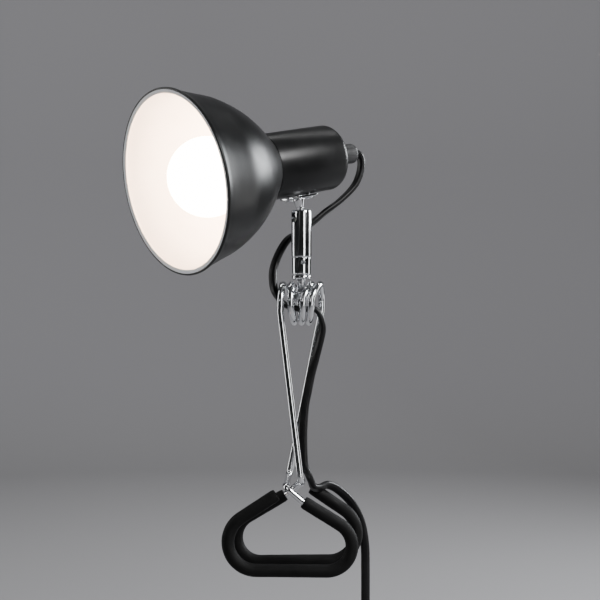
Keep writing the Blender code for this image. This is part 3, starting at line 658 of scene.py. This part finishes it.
def make_upper_cord():
    """From the gland to the switch. Behind the stem it is cut into three pieces, named for the
    joints they cross.
    """
    path = [p * MM for p in smooth([*LOOP_ROUTE, *DROP_ROUTE[1:]], 1.2)]
    tangents = tangents_of(path)
    widths = width_vectors(path, [
        (LOOP_ROUTE[0], (0.62, -0.78, 0.0)), (LOOP_ROUTE[3], (0.62, -0.78, 0.1)),
        (LOOP_ROUTE[6], (0.62, -0.7, 0.25)), (LOOP_ROUTE[9], (0.5, -0.5, 0.6)),
        (LOOP_ROUTE[12], (0.75, -0.65, -0.3)), (LOOP_ROUTE[14], (0.75, -0.66, 0.0)),
        (DROP_ROUTE[1], (0.1, -1.0, 0.1)), (DROP_ROUTE[4], (0.0, -1.0, 0.1)),
        (DROP_ROUTE[6], (0.6, -0.8, 0.0)), (DROP_ROUTE[9], (0.9, -0.35, 0.0)),
        (DROP_ROUTE[12], (0.9, -0.4, 0.0)), (DROP_ROUTE[15], (0.4, -0.9, 0.1)),
        (DROP_ROUTE[17], (0.1, -0.6, 0.7)), (DROP_ROUTE[19], (0.5, -0.2, 0.8)),
        (DROP_ROUTE[21], (0.95, -0.1, 0.3)), (DROP_ROUTE[24], (1.0, 0.0, 0.0))])
    drop_start = min(range(len(path)),
                     key=lambda k: (path[k] / MM - Vector(LOOP_ROUTE[-1])).length)
    ends = [0, *(round(drop_start * share) for share in CORD_CUTS), drop_start]
    joined = (("cord_at_head", "head", "ball"), ("cord_at_ball", "ball", "stem_top"),
              ("cord_at_stem", "stem_top", "clamp"))
    total = 0.0
    for (name, upper, lower), first, last in zip(joined, ends, ends[1:]):
        part = path[first:last + 1]
        piece = cord_piece(name, part, widths[first:last + 1], tangents[first:last + 1],
                           ["cord_loop"] if first == 0 else [])
        start, end = part[0], part[-1]
        if name == "cord_at_stem":
            start, end = Vector((0.0, 0.0, start.z)), Vector((0.0, 0.0, end.z))
        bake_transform(piece)
        total += length_of(part)
    part = path[drop_start:]
    piece = cord_piece("cord_drop_line", part, widths[drop_start:], tangents[drop_start:],
                       ["cord_drop"])
    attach(piece, "clamp")
    print(f"cord: {total + length_of(part):.3f} m to the switch")
    return piece, part


def ring_path():
    """The spare cord: five turns in two columns, wound in and out again."""
    tail = [Vector(p) for p in TAIL_ROUTE]
    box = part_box("cord_coil")
    centre = (Vector(box[0]) + Vector(box[1])) / 2 / MM
    plug_start = Vector(PLUG_LEAD_ROUTE[0])
    start_angle = math.radians(72.0)
    end_angle = math.atan2(plug_start.z - centre.z, plug_start.x - centre.x)
    sweep_angle = start_angle - end_angle + 2 * math.pi * (RING_TURNS)
    points = []
    steps = 20 * RING_TURNS
    for k in range(steps + 1):
        share = k / steps
        angle = start_angle - sweep_angle * share
        inward = min(share, 1 - share) * 2
        radius = RING_RADIUS + CORD_LAYER * (1.0 - 2.0 * inward)
        slide = min(max((share - 0.42) / 0.16, 0.0), 1.0)
        y = centre.y + CORD_WIDTH * (slide * slide * (3 - 2 * slide) - 0.5)
        points.append(Vector((centre.x + radius * math.cos(angle), y,
                              centre.z + radius * math.sin(angle))))
    return tail, points


def make_lower_cord():
    """From the switch, round and round the spare turns, and out to the plug."""
    tail, ring = ring_path()
    lead = [Vector(p) for p in PLUG_LEAD_ROUTE]
    path = [p * MM for p in smooth([*tail, *ring, *lead[1:]], 1.6)]
    widths = []
    for at in path:
        above = (at.z / MM - TAIL_ROUTE[-1][2]) / 12.0
        share = min(max(above, 0.0), 1.0)
        widths.append(Vector((0.0, 1.0, 0.0)).lerp(Vector((1.0, 0.0, 0.0)), share))
    piece = cord_piece("cord_to_plug", path, widths, None,
                       ["cord_tail", "cord_coil", "plug_lead"])
    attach(piece, "clamp")
    print(f"cord: {length_of(path):.3f} m from the switch to the plug")
    return piece, path


upper_cord = make_upper_cord()
lower_cord = make_lower_cord()


# ---- clamp ----

def coil_point(quarters, side):
    """A point of the turns' centre line, so many quarter turns from the middle of the wire."""
    low = min(int(quarters), len(COIL_OFFSETS) - 2)
    share = quarters - low
    ease = share * share * (3 - 2 * share)
    x = COIL_OFFSETS[low] + (COIL_OFFSETS[low + 1] - COIL_OFFSETS[low]) * ease
    angle = quarters * math.pi / 2
    return Vector((x * side, COIL_RADIUS * math.sin(angle) * side,
                   -COIL_RADIUS * math.cos(angle)))


def leaned(x, y, drop, side):
    """A point of one jaw, by its drop below the coil: the whole clamp leans a little."""
    return Vector((x * side - LEAN * drop, y * side, -drop))


def jaw_corners(side):
    return [leaned(x, -JAW_Y, drop, side) for x, drop in (JAW_START, JAW_RIGHT, JAW_LEFT, JAW_END)]


def make_jaw(name, side):
    """Half of the clamp's one wire: its turns, its leg, and the loop that it ends in."""
    body = f"{name}_jaw"
    start, right, left, end = jaw_corners(side)
    quarters = len(COIL_OFFSETS) - 1
    turns = [coil_point(quarters * k / COIL_STEPS, -side) for k in range(COIL_STEPS + 1)]
    end_x = -COIL_OFFSETS[-1]
    leg = filleted([
        (turns[-1], 0.0),
        (leaned(end_x, COIL_RADIUS, 5.0, side), 12.0),
        (leaned(-LEG_FOOT_X, LEG_SPREAD, LEG_FOOT_DROP, side), 4.0),
        (leaned(-JAW_CORNER[0], -JAW_Y, JAW_CORNER[1], side), 3.5),
        (start, 3.0), (right, JAW_RIGHT_RADIUS), (left, JAW_LEFT_RADIUS),
        (end + (left - end).normalized() * 2.0, 0.0)])
    path = [COIL + p * MM for p in turns[:-1] + subdivided(leg, 5.0)]
    wire = sweep(f"{name}_clamp_wire", path, circle_section(WIRE_RADIUS, 20))
    nodes = ["clamp_coil"] if side > 0 else []
    finish_piece(wire, CHROME, None, "chrome", *nodes, f"{name}_jaw_wire")
    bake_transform(wire)

    loop = filleted([(start + (right - start).normalized() * 1.5, 0.0), (right, JAW_RIGHT_RADIUS),
                     (left, JAW_LEFT_RADIUS), (end, 0.0)], 5.0)
    outer = [COIL + p * MM for p in subdivided(loop, 1.6)]
    sleeve = hose(f"{name}_hose", outer)
    finish_piece(sleeve, RUBBER, body, "rubber", f"{name}_jaw_sleeve")


def hose(name, path, sides=36):
    """A cut length of rubber hose: square ends with a softened edge, and a faintly uneven wall."""
    last = len(path) - 1
    shape = bmesh.new()
    outer, inner = [], []
    across = Vector((0.0, 1.0, 0.0))
    for k, (at, along) in enumerate(zip(path, tangents_of(path))):
        up = along.cross(across)
        radius = SLEEVE_RADIUS - (SLEEVE_EDGE if k in (0, last) else 0.0)
        for rings, reach, uneven in ((outer, radius, 0.07), (inner, SLEEVE_BORE, 0.0)):
            ring = []
            for s in range(sides):
                angle = 2 * math.pi * s / sides
                way = across * math.cos(angle) + up * math.sin(angle)
                lump = uneven * noise.noise(at * 160.0 + way * 0.6)
                ring.append(shape.verts.new(at + way * (reach + lump) * MM))
            rings.append(ring)
    for rings, flip in ((outer, False), (inner, True)):
        for low, high in zip(rings, rings[1:]):
            bridge(shape, low, high, flip)
    for end in (0, -1):
        bridge(shape, outer[end], inner[end])
    return mesh_object(name, shape, 38.0)


# ---- stem ----

def make_stem():
    """The fixed lower half of the stem, with the bolt that holds it in the coil."""
    bore = 3.7
    base = turned("stem_base_shell", eased([
        (bore, BASE_TOP), (5.55, BASE_TOP), (5.7, BASE_TOP - 0.2), (5.55, BASE_BOTTOM + 0.6),
        (5.2, BASE_BOTTOM), (3.0, BASE_BOTTOM), (3.0, BASE_BOTTOM + 3.7),
        (bore, BASE_BOTTOM + 3.7)], 0.18, 2), UPRIGHT, 72, closed=True)
    cut(base, drill("grub_bore", 1.4, 3.0, placed(mm((1.0, -5.0, GRUB_AT)), (1, 0, 0),
                                                  (0, -1, 0))))
    finish_piece(base, CHROME, "clamp", "chrome", "stem_base")
    screw = turned("grub_screw_body", eased([(0.0, 0.7), (0.55, 0.7), (0.6, 1.2), (1.05, 1.2),
                                             (1.2, 1.0), (1.2, -1.1), (0.0, -1.1)], 0.08, 2),
                   placed(mm((1.0, -4.2, GRUB_AT)), (1, 0, 0), (0, -1, 0)), 32)
    finish_piece(screw, ZINC, "clamp", "zinc_steel", "grub_screw")
    collar = turned("collar_ring", eased([
        (2.9, COLLAR_TOP), (5.0, COLLAR_TOP), (5.6, COLLAR_TOP - 0.5), (5.75, COLLAR_TOP - 1.3),
        (5.6, COLLAR_BOTTOM + 0.6), (5.0, COLLAR_BOTTOM), (2.9, COLLAR_BOTTOM)], 0.35, 3),
        UPRIGHT, 72, closed=True)
    finish_piece(collar, CHROME, "clamp", "chrome", "collar")
    washer = turned("bolt_washer_disc", eased([
        (2.8, WASHER_FACE + 0.9), (4.6, WASHER_FACE + 0.95), (5.4, WASHER_FACE + 0.4),
        (5.4, WASHER_FACE), (2.8, WASHER_FACE)], 0.2, 2), UPRIGHT, 48, closed=True)
    finish_piece(washer, CHROME, "clamp", "chrome", "bolt_washer")
    thread = []
    thread_top, pitch, ridges = 174.8, 0.95, 14
    for k in range(ridges):
        z = thread_top - pitch * k
        thread += [(2.5, z), (2.5, z - 0.2), (2.15, z - 0.48), (2.15, z - 0.6)]
    bolt = turned("swivel_bolt_body", [(0.0, 175.2), (2.1, 175.2), *thread, (2.5, 161.2),
                                       (2.5, 160.5), (4.2, 160.5), (4.4, 160.2), (4.4, 157.9),
                                       (4.0, 157.2), (2.6, 157.0), (2.2, 158.2), (0.0, 158.2)],
                  UPRIGHT, 48)
    finish_piece(bolt, ZINC, "clamp", "zinc_steel", "swivel_bolt")
    make_cup()


def make_cup():
    """The turning upper half: a cup with a slot towards the shade, and the ball stud in it."""
    hollow = 4.6
    ball_z = BALL.z / MM
    top = 209.6
    lip = [(hollow * math.cos(a), ball_z + hollow * math.sin(a))
           for a in (math.radians(d) for d in (0, 8, 16, 24, 32, 39))]
    profile = eased([(hollow, 189.5), *lip, (5.0, top), (5.7, top - 0.4), (6.0, top - 1.5),
                     (5.92, 182.4), (5.6, 181.9), (3.4, 181.9), (3.4, 175.8), (0.0, 175.8)], 0.2, 2)
    cup = turned("ball_cup", [(0.0, 189.5), *profile], UPRIGHT, 96)
    width, depth = 5.0, 7.4
    low = top - depth + width / 2
    middle = NOSE_LEVEL * 5.0 * MM
    box = rounded_box("slot_box", (10.0, width, top + 3.0 - low), 0.01, 1)
    box.matrix_world = placed(middle + Vector((0, 0, (top + 3.0 + low) / 2 * MM)), NOSE_LEVEL,
                              (0, 0, 1))
    end = drill("slot_rod", width / 2, 5.0,
                placed(middle + Vector((0, 0, low * MM)), (0, 0, 1), NOSE_LEVEL), 48)
    cut(cup, box, end)
    finish_piece(cup, CHROME, "stem_top", "chrome", "stem_top")
    ball = [(BALL_RADIUS * math.sin(a), BALL_RADIUS * math.cos(a))
            for a in (math.radians(d) for d in range(30, 180, 10))]
    shoulder = PLATE_TOP - 1.4
    tip = shoulder + 8.1
    stud = turned("ball_and_stud", [
        (0.0, tip), (1.5, tip), (1.9, tip - 0.4), (1.9, shoulder), (3.3, shoulder),
        (3.5, shoulder - 0.2), (3.5, shoulder - 0.6), (3.3, shoulder - 1.4), (2.9, 6.4),
        (2.3, 4.8), (1.95, 4.1), *ball, (0.0, -BALL_RADIUS)], PIVOT, 64)
    finish_piece(stud, CHROME, "ball", "chrome", "ball_stud")


# ---- head ----

def make_head():
    """Shade, housing, shade ring and gland, all turned about the head's axis."""
    flat = smooth([(at, radius, 0.0) for at, radius in SHADE_OUTLINE], 2.2)
    outside = [(p.y, RIM_AT - p.x) for p in flat]
    inside = [(radius - SHADE_WALL, at) for radius, at in outside[1:-1]]
    rim = outside[0][0]
    back = outside[-1][1]
    hole = 14.1
    edge = [(rim - 0.55, RIM_AT), (rim - 0.15, RIM_AT - 0.12), (rim, RIM_AT - 0.45),
            (rim, RIM_AT - 1.0)]
    lip = [(rim - SHADE_WALL - 0.2, RIM_AT - 1.9), (rim - LIP_DEPTH, RIM_AT - 1.3),
           (rim - LIP_DEPTH - 0.12, RIM_AT - 0.9), (rim - LIP_DEPTH, RIM_AT - 0.45),
           (rim - LIP_DEPTH + 0.3, RIM_AT - 0.3), (rim - 1.15, RIM_AT)]
    start = [*edge, *outside[1:], (outside[-1][0] - 0.6, back - 0.05), (hole, back - 0.05),
             (hole, back + SHADE_WALL), (outside[-1][0] - 1.8, back + SHADE_WALL)]
    profile = [*start, *inside[::-1], *lip]
    black_rows = len(edge) + len(outside) + 1
    lip_row = len(start) + len(inside)

    def side(row):
        """Black outside and on the edge, painted light (a paler, bluer white) on the lip's face,
        and white inside.
        """
        if row < black_rows or row == len(profile) - 1:
            return 0
        return 2 if row >= lip_row + 3 else 1

    shade = turned("shade_bowl", profile, AXIS, 160, closed=True, material_of=side)
    for material in (LACQUER, WHITE, RIM):
        shade.data.materials.append(material)
    finish_piece(shade, LACQUER, "head", "black_lacquer", "shade")

    bend = [(HOUSING_RADIUS - HOUSING_ROUND * (1 - math.sin(a)),
             HOUSING_BACK + HOUSING_ROUND * (1 - math.cos(a)))
            for a in (math.radians(90 - 7.5 * k) for k in range(13))]
    inner = [(radius - HOUSING_WALL, at + HOUSING_WALL) for radius, at in bend[::-1]]
    housing = turned("housing_shell", [
        (HOUSING_RADIUS - HOUSING_WALL, HOUSING_FRONT), (HOUSING_RADIUS - 0.5, HOUSING_FRONT),
        (HOUSING_RADIUS - 0.12, HOUSING_FRONT - 0.12), (HOUSING_RADIUS, HOUSING_FRONT - 0.5),
        *bend, (4.3, HOUSING_BACK), (4.3, HOUSING_BACK + HOUSING_WALL), *inner],
        AXIS, 128, closed=True)
    bores = [drill(f"bore_{k}", radius, 4.0,
                   AXIS @ placed(mm((HOUSING_RADIUS, 0.0, at)), (0, 1, 0), (1, 0, 0)))
             for k, (at, radius) in enumerate(
                 ((0.0, 2.4), (PLATE_SCREW_AT, 1.5), (-PLATE_SCREW_AT, 1.5)))]
    cut(housing, *bores)
    finish_piece(housing, LACQUER, "head", "black_lacquer", "rear_housing")

    ring = turned("shade_clamp_ring", eased([
        (13.9, back + 4.6), (16.2, back + 4.6), (16.6, back + 4.2), (16.6, back + 1.2),
        (13.9, back + 1.2)], 0.3, 3), AXIS, 96, closed=True)
    finish_piece(ring, PALE_PLASTIC, "head", "pale_plastic", "shade_ring")

    gland_end = HOUSING_BACK - GLAND_LENGTH
    gland = turned("gland_body", eased([
        (0.0, HOUSING_BACK + 6.0), (3.6, HOUSING_BACK + 6.0), (3.8, HOUSING_BACK - 0.2),
        (5.7, HOUSING_BACK - 0.2), (6.0, HOUSING_BACK - 0.6), (6.0, gland_end + 0.9),
        (5.5, gland_end), (3.4, gland_end), (3.0, gland_end + 0.7), (0.0, gland_end + 0.7)],
        0.3, 3), AXIS, 72)
    cut(gland, drill("gland_bore", 1.5, 4.0,
                     AXIS @ placed(mm((-5.6, 0.0, HOUSING_BACK - 5.0)), (0, 1, 0), (1, 0, 0))))
    finish_piece(gland, BLACK_PLASTIC, "head", "black_plastic", "cord_gland")
    make_plate()
    make_bulb()


def make_plate():
    """The strip under the housing, and its two screws with their heads below it."""
    top = PLATE_TOP
    plate = rounded_box("plate_strip", PLATE_SIZE, 0.28, 3)
    plate.data.transform(PIVOT @ Matrix.Translation(mm((0.0, 0.0, top - PLATE_SIZE[2] / 2))))
    holes = [drill(f"plate_bore_{k}", radius, 3.0,
                   PIVOT @ Matrix.Translation(mm((at, 0.0, top - 0.5))))
             for k, (at, radius) in enumerate(
                 ((0.0, 2.1), (PLATE_SCREW_AT, 1.45), (-PLATE_SCREW_AT, 1.45)))]
    cut(plate, *holes)
    finish_piece(plate, CHROME, "head", "chrome", "mounting_plate")
    head = top - PLATE_SIZE[2] - 0.3
    for name, at in (("plate_screw_front", PLATE_SCREW_AT), ("plate_screw_rear", -PLATE_SCREW_AT)):
        screw = turned(f"{name}_body", eased([
            (0.0, top + 4.0), (0.9, top + 4.0), (1.2, top + 3.6), (1.2, head), (2.2, head),
            (2.4, head - 0.2), (2.2, head - 0.9), (1.4, head - 1.3), (0.7, head - 1.3),
            (0.6, head - 0.7), (0.0, head - 0.7)], 0.12, 2),
            PIVOT @ Matrix.Translation(mm((at, 0.0, 0.0))), 40)
        finish_piece(screw, ZINC, "head", "zinc_steel", name)


def make_bulb():
    neck = 39.3
    globe = [(BULB_RADIUS * math.sin(a), BULB_AT + BULB_RADIUS * math.cos(a))
             for a in (math.radians(6.0 * k) for k in range(1, 23))]
    globe = [p for p in globe if p[1] > BULB_AT - 16.5]
    bulb = turned("bulb_envelope", [(0.0, BULB_AT + BULB_RADIUS), *globe, (14.4, 44.2),
                                    (13.2, 42.2), (12.7, 40.6), (12.6, neck), (0.0, neck)],
                  AXIS, 96)
    finish_piece(bulb, OPAL, "head", "opal_glass", "bulb_globe")
    collar = turned("bulb_collar_body", eased([
        (0.0, 39.0), (12.8, 39.0), (13.0, 38.3), (10.6, 32.6), (8.1, 30.2), (8.1, 27.4),
        (7.0, 26.3), (0.0, 26.3)], 0.5, 3), AXIS, 72)
    finish_piece(collar, WHITE_PLASTIC, "head", "pale_plastic", "bulb_collar")


# ---- what is on the cord ----

def make_switch():
    low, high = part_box("switch_front_shell")
    rear_high = Vector(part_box("switch_rear_shell")[1])
    low, high = Vector(low), Vector(high)
    centre = (low + Vector((high.x, rear_high.y, high.z))) / 2
    size = (high.x - low.x, rear_high.y - low.y, high.z - low.z)
    for name, side in (("switch_rear_shell", 1), ("switch_front_shell", -1)):
        half = rounded_box(f"{name}_body", (size[0] / MM, size[1] / 2 / MM - 0.12, size[2] / MM),
                           2.6, 5, lambda v: taper_ends(v, size[2] / 2))
        half.data.transform(Matrix.Translation(centre + Vector((0, side * (size[1] / 4 + 0.00006),
                                                                0))))
        cutters = []
        for end in (1, -1):
            spot = centre + Vector((0.0, side * size[1] / 2, end * 0.025))
            cutters.append(drill(f"{name}_pit_{end}", 2.1, 1.4,
                                 placed(spot, (1, 0, 0), (0, 1, 0))))
        if side < 0:
            window = rounded_box("window", (11.4, 14.0, 21.4), 0.6, 2)
            window.data.transform(Matrix.Translation(centre + Vector((0, -size[1] / 2, 0))))
            cutters.append(window)
        for end in (1, -1):
            port = Matrix.Translation(centre + Vector((0, 0, end * size[2] / 2)))
            cutters.append(drill(f"{name}_port_{end}", CORD_HOLE, 4.0, port))
        cut(half, *cutters)
        finish_piece(half, BLACK_PLASTIC, "clamp", "black_plastic", name)
    pivot = Vector(JOINTS["rocker_tip"]["pos_m"])
    make_rocker(pivot)


def taper_ends(vertex, half):
    """Draw a shell's two ends in towards the cord."""
    if abs(vertex.co.z) > half * 0.9:
        vertex.co.x *= 0.82


def make_rocker(pivot):
    shape = bmesh.new()
    outline = [(-2.6, -9.4), (-6.2, -9.0), (-5.4, -5.0), (-4.35, -1.2), (-4.0, 0.0),
               (-3.75, 1.2), (-3.0, 5.0), (-2.4, 9.0), (0.6, 9.4), (2.0, 4.0), (2.4, 0.0),
               (2.0, -4.0)]
    corners = [shape.verts.new(mm((-5.3, across, along))) for across, along in outline]
    face = shape.faces.new(corners)
    moved = bmesh.ops.extrude_face_region(shape, geom=[face])
    bmesh.ops.translate(shape, vec=mm((10.6, 0.0, 0.0)),
                        verts=[v for v in moved["geom"] if isinstance(v, bmesh.types.BMVert)])
    bmesh.ops.bevel(shape, geom=[e for e in shape.edges if e.calc_face_angle(0.0) > 0.6],
                    offset=0.0005, segments=3, profile=0.5, affect="EDGES")
    shape.transform(Matrix.Translation(pivot))
    rocker = mesh_object("rocker_key", shape, 35.0)
    finish_piece(rocker, BLACK_PLASTIC, "switch_rocker", "black_plastic", "switch_rocker")


def make_plug():
    """A flat two-pin plug: broad at the pins, waisted, with a ribbed neck round the cord."""
    low, high = (Vector(c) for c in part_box("plug_body"))
    centre = (low + high) / 2
    size = high - low
    stations = ((0.0, 1.0, 1.0), (0.12, 1.0, 1.0), (0.34, 0.94, 0.96), (0.52, 0.70, 0.86),
                (0.66, 0.50, 0.74), (0.80, 0.40, 0.64), (1.0, 0.34, 0.56))
    path = [Vector((low.x + size.x * at, centre.y, centre.z)) for at, _, _ in stations]
    shape = bmesh.new()
    rings = []
    for spot, (_, tall, deep) in zip(path, stations):
        ring = []
        for k in range(48):
            angle = 2 * math.pi * k / 48
            c, s = math.cos(angle), math.sin(angle)
            power = 0.42
            z = math.copysign(abs(c) ** power, c) * size.z / 2 * tall
            y = math.copysign(abs(s) ** (power * 1.3), s) * size.y / 2 * deep
            ring.append(shape.verts.new(spot + Vector((0.0, y, z))))
        rings.append(ring)
    for low_ring, high_ring in zip(rings, rings[1:]):
        bridge(shape, low_ring, high_ring)
    shape.faces.new(rings[0][::-1])
    shape.faces.new(rings[-1])
    bmesh.ops.bevel(shape, geom=[e for e in shape.edges if e.calc_face_angle(0.0) > 1.0],
                    offset=0.0008, segments=3, profile=0.5, affect="EDGES")
    plug = mesh_object("plug_moulding", shape, 50.0)
    grooves = []
    for k in range(4):
        at = low.x + size.x * (0.76 + 0.06 * k)
        grooves.append(turned(f"plug_rib_{k}", [(3.0, 0.35), (12.0, 0.35), (12.0, -0.35),
                                                (3.0, -0.35)],
                              placed(Vector((at, centre.y, centre.z)), (0, 0, 1), (1, 0, 0)), 32,
                              closed=True))
    for name in ("plug_pin_upper", "plug_pin_lower"):
        pin_low, pin_high = (Vector(c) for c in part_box(name))
        middle = (pin_low + pin_high) / 2
        grooves.append(drill(f"{name}_bore", 2.15, 6.5,
                             placed(Vector((low.x, centre.y, middle.z)), (0, 0, 1), (1, 0, 0))))
        start, stop = pin_low.x / MM, low.x / MM + 6.0
        matrix = placed(Vector((0.0, centre.y, middle.z)), (0, 0, 1), (1, 0, 0))
        pin = turned(f"{name}_body", [(0.0, start), (1.1, start), (1.85, start + 1.0),
                                      (2.0, start + 1.8), (2.0, start + 9.0), (1.8, start + 9.1),
                                      (1.8, stop - 0.3), (0.0, stop)], matrix, 40)
        finish_piece(pin, NICKEL, "clamp", "plated_brass", name)
        jacket = turned(f"{name}_jacket", [(1.82, start + 9.25), (2.02, start + 9.4),
                                           (2.02, stop - 0.5), (1.82, stop - 0.4)], matrix, 40,
                        closed=True)
        finish_piece(jacket, BLACK_PLASTIC, "clamp", "black_plastic")
    cut(plug, *grooves)
    finish_piece(plug, BLACK_PLASTIC, "clamp", "black_plastic", "plug_body")


def make_tie():
    """A hook-and-loop strap round the spare cord."""
    low, high = (Vector(c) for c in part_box("cord_tie"))
    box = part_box("cord_coil")
    ring = (Vector(box[0]) + Vector(box[1])) / 2
    centre = (low + high) / 2
    out = Vector((centre.x - ring.x, 0.0, centre.z - ring.z)).normalized()
    along = out.cross(Vector((0.0, 1.0, 0.0)))
    middle = ring + out * RING_RADIUS * MM
    inside, thickness, half_width = 6.1, 1.1, 4.2
    shape = bmesh.new()
    rings = []
    for k in range(56):
        angle = 2 * math.pi * k / 56
        c, s = math.cos(angle), math.sin(angle)
        reach = math.copysign(abs(c) ** 0.55, c)
        rise = math.copysign(abs(s) ** 0.55, s)
        overlap = 0.5 if 0 < angle < 1.6 else 0.0
        row = []
        for side, wall in ((-half_width, 0.0), (half_width, 0.0), (half_width, thickness),
                           (-half_width, thickness)):
            radial = (inside + wall + overlap) * reach
            lateral = (inside + wall + overlap) * rise
            row.append(shape.verts.new(middle + (out * radial + Vector((0, lateral, 0))
                                                 + along * side) * MM))
        rings.append(row)
    for low_row, high_row in zip(rings, rings[1:] + rings[:1]):
        bridge(shape, low_row, high_row)
    tie = mesh_object("tie_strap", shape, 35.0)
    finish_piece(tie, RUBBER, "clamp", "rubber", "cord_tie")


# ---- CAD pieces that stay, mostly hidden inside ----

KEPT = {
    ZINC: ("seat_spring", "stud_nut", "stud_washer", "gland_nut", "bulb_tip",
           "switch_screw_top", "switch_screw_bottom"),
    BRASS: ("lampholder_shell", "centre_contact", "fixed_contact", "moving_contact"),
    NICKEL: ("bulb_cap",),
    PALE_PLASTIC: ("lampholder_body", "ball_seat", "gland_screw"),
    BLACK_PLASTIC: ("bulb_insulator",),
    PVC: ("live_lead", "neutral_lead"),
}


def dress_kept_nodes():
    for material, names in KEPT.items():
        for name in names:
            kept = frame["nodes"][name]
            kept.data.materials.clear()
            kept.data.materials.append(material)


# ---- stage ----

def make_stage():
    """A floor that curves up into a wall all round, and the studio's lights."""
    floor_z = CAD_BOX[0][2] / MM - 3.0
    curve = [(1800.0 + 700.0 * math.sin(a), 700.0 * (1 - math.cos(a)))
             for a in (math.radians(9.0 * k) for k in range(11))]
    profile = [(0.0, 0.0), (900.0, 0.0), *curve, (2500.0, 2600.0)]
    stage = turned("studio_floor", [(r, z + floor_z) for r, z in profile[::-1]], UPRIGHT, 96)
    stage.data.materials.append(backdrop())
    world = bpy.data.worlds.new("studio")
    bpy.context.scene.world = world
    world.use_nodes = True
    world.node_tree.nodes["Background"].inputs["Color"].default_value = (0.85, 0.88, 0.92, 1.0)
    world.node_tree.nodes["Background"].inputs["Strength"].default_value = 0.12
    focus = mm((0.0, 0.0, 190.0))
    for name, place, size, watts in (
            ("key_light", (820.0, -620.0, 820.0), (0.36, 0.36), 15.0),
            ("front_light", (-620.0, -900.0, 700.0), (0.6, 0.6), 2.5),
            ("left_strip", (-1000.0, 260.0, 330.0), (0.22, 1.1), 3.0),
            ("right_strip", (640.0, -980.0, 330.0), (0.22, 0.9), 4.0),
            ("right_panel", (980.0, 590.0, 560.0), (0.42, 0.42), 16.0),
            ("edge_strip", (1050.0, 300.0, 190.0), (0.3, 0.9), 2.5)):
        area_light(name, mm(place), focus, size, watts)
    bpy.data.lights["right_panel"].color = (0.94, 0.97, 1.0)
    area_light("wall_light", mm((0.0, 500.0, 1500.0)), mm((0.0, 1900.0, 600.0)), (1.6, 0.4),
               26.0)


def backdrop():
    """Plain paper, pale on the floor and mid grey behind; the darkness in front and at the far
    sides is painted shade, standing in for the dark room and black flags round the set.
    """
    made, tree, shader, coords = start_material("studio_paper", (0.5, 0.5, 0.5), 0.9)
    axes = node(tree, "ShaderNodeSeparateXYZ")
    tree.links.new(coords, axes.inputs["Vector"])
    # painted shade: front and wall darken the paper towards the front, standing in for the dark
    # room before the set
    front = spread(tree, axes.outputs["Y"], 0.0, 1.0, -1.1, -0.1)
    height = spread(tree, axes.outputs["Z"], 0.0, 1.0, -0.17, -0.04)
    wall = mixed(tree, front, (0.04, 0.039, 0.037), (0.27, 0.267, 0.28))
    middle = mixed(tree, height, (0.27, 0.267, 0.275), wall)
    # painted shade: the paper is darkened towards the far sides, standing in for black flags
    aside = node(tree, "ShaderNodeMath", operation="ABSOLUTE")
    tree.links.new(axes.outputs["X"], aside.inputs[0])
    whole = mixed(tree, spread(tree, aside.outputs["Value"], 0.0, 1.0, 0.75, 1.25), middle,
                  (0.04, 0.04, 0.042))
    tree.links.new(whole, shader.inputs["Base Color"])
    bump(tree, shader, [(noise_value(tree, coords, 300.0, 2.0), 0.0002, 0.05)])
    return made


make_jaw("front", 1)
make_jaw("rear", -1)
make_stem()
make_head()
make_switch()
make_plug()
make_tie()
dress_kept_nodes()
make_stage()
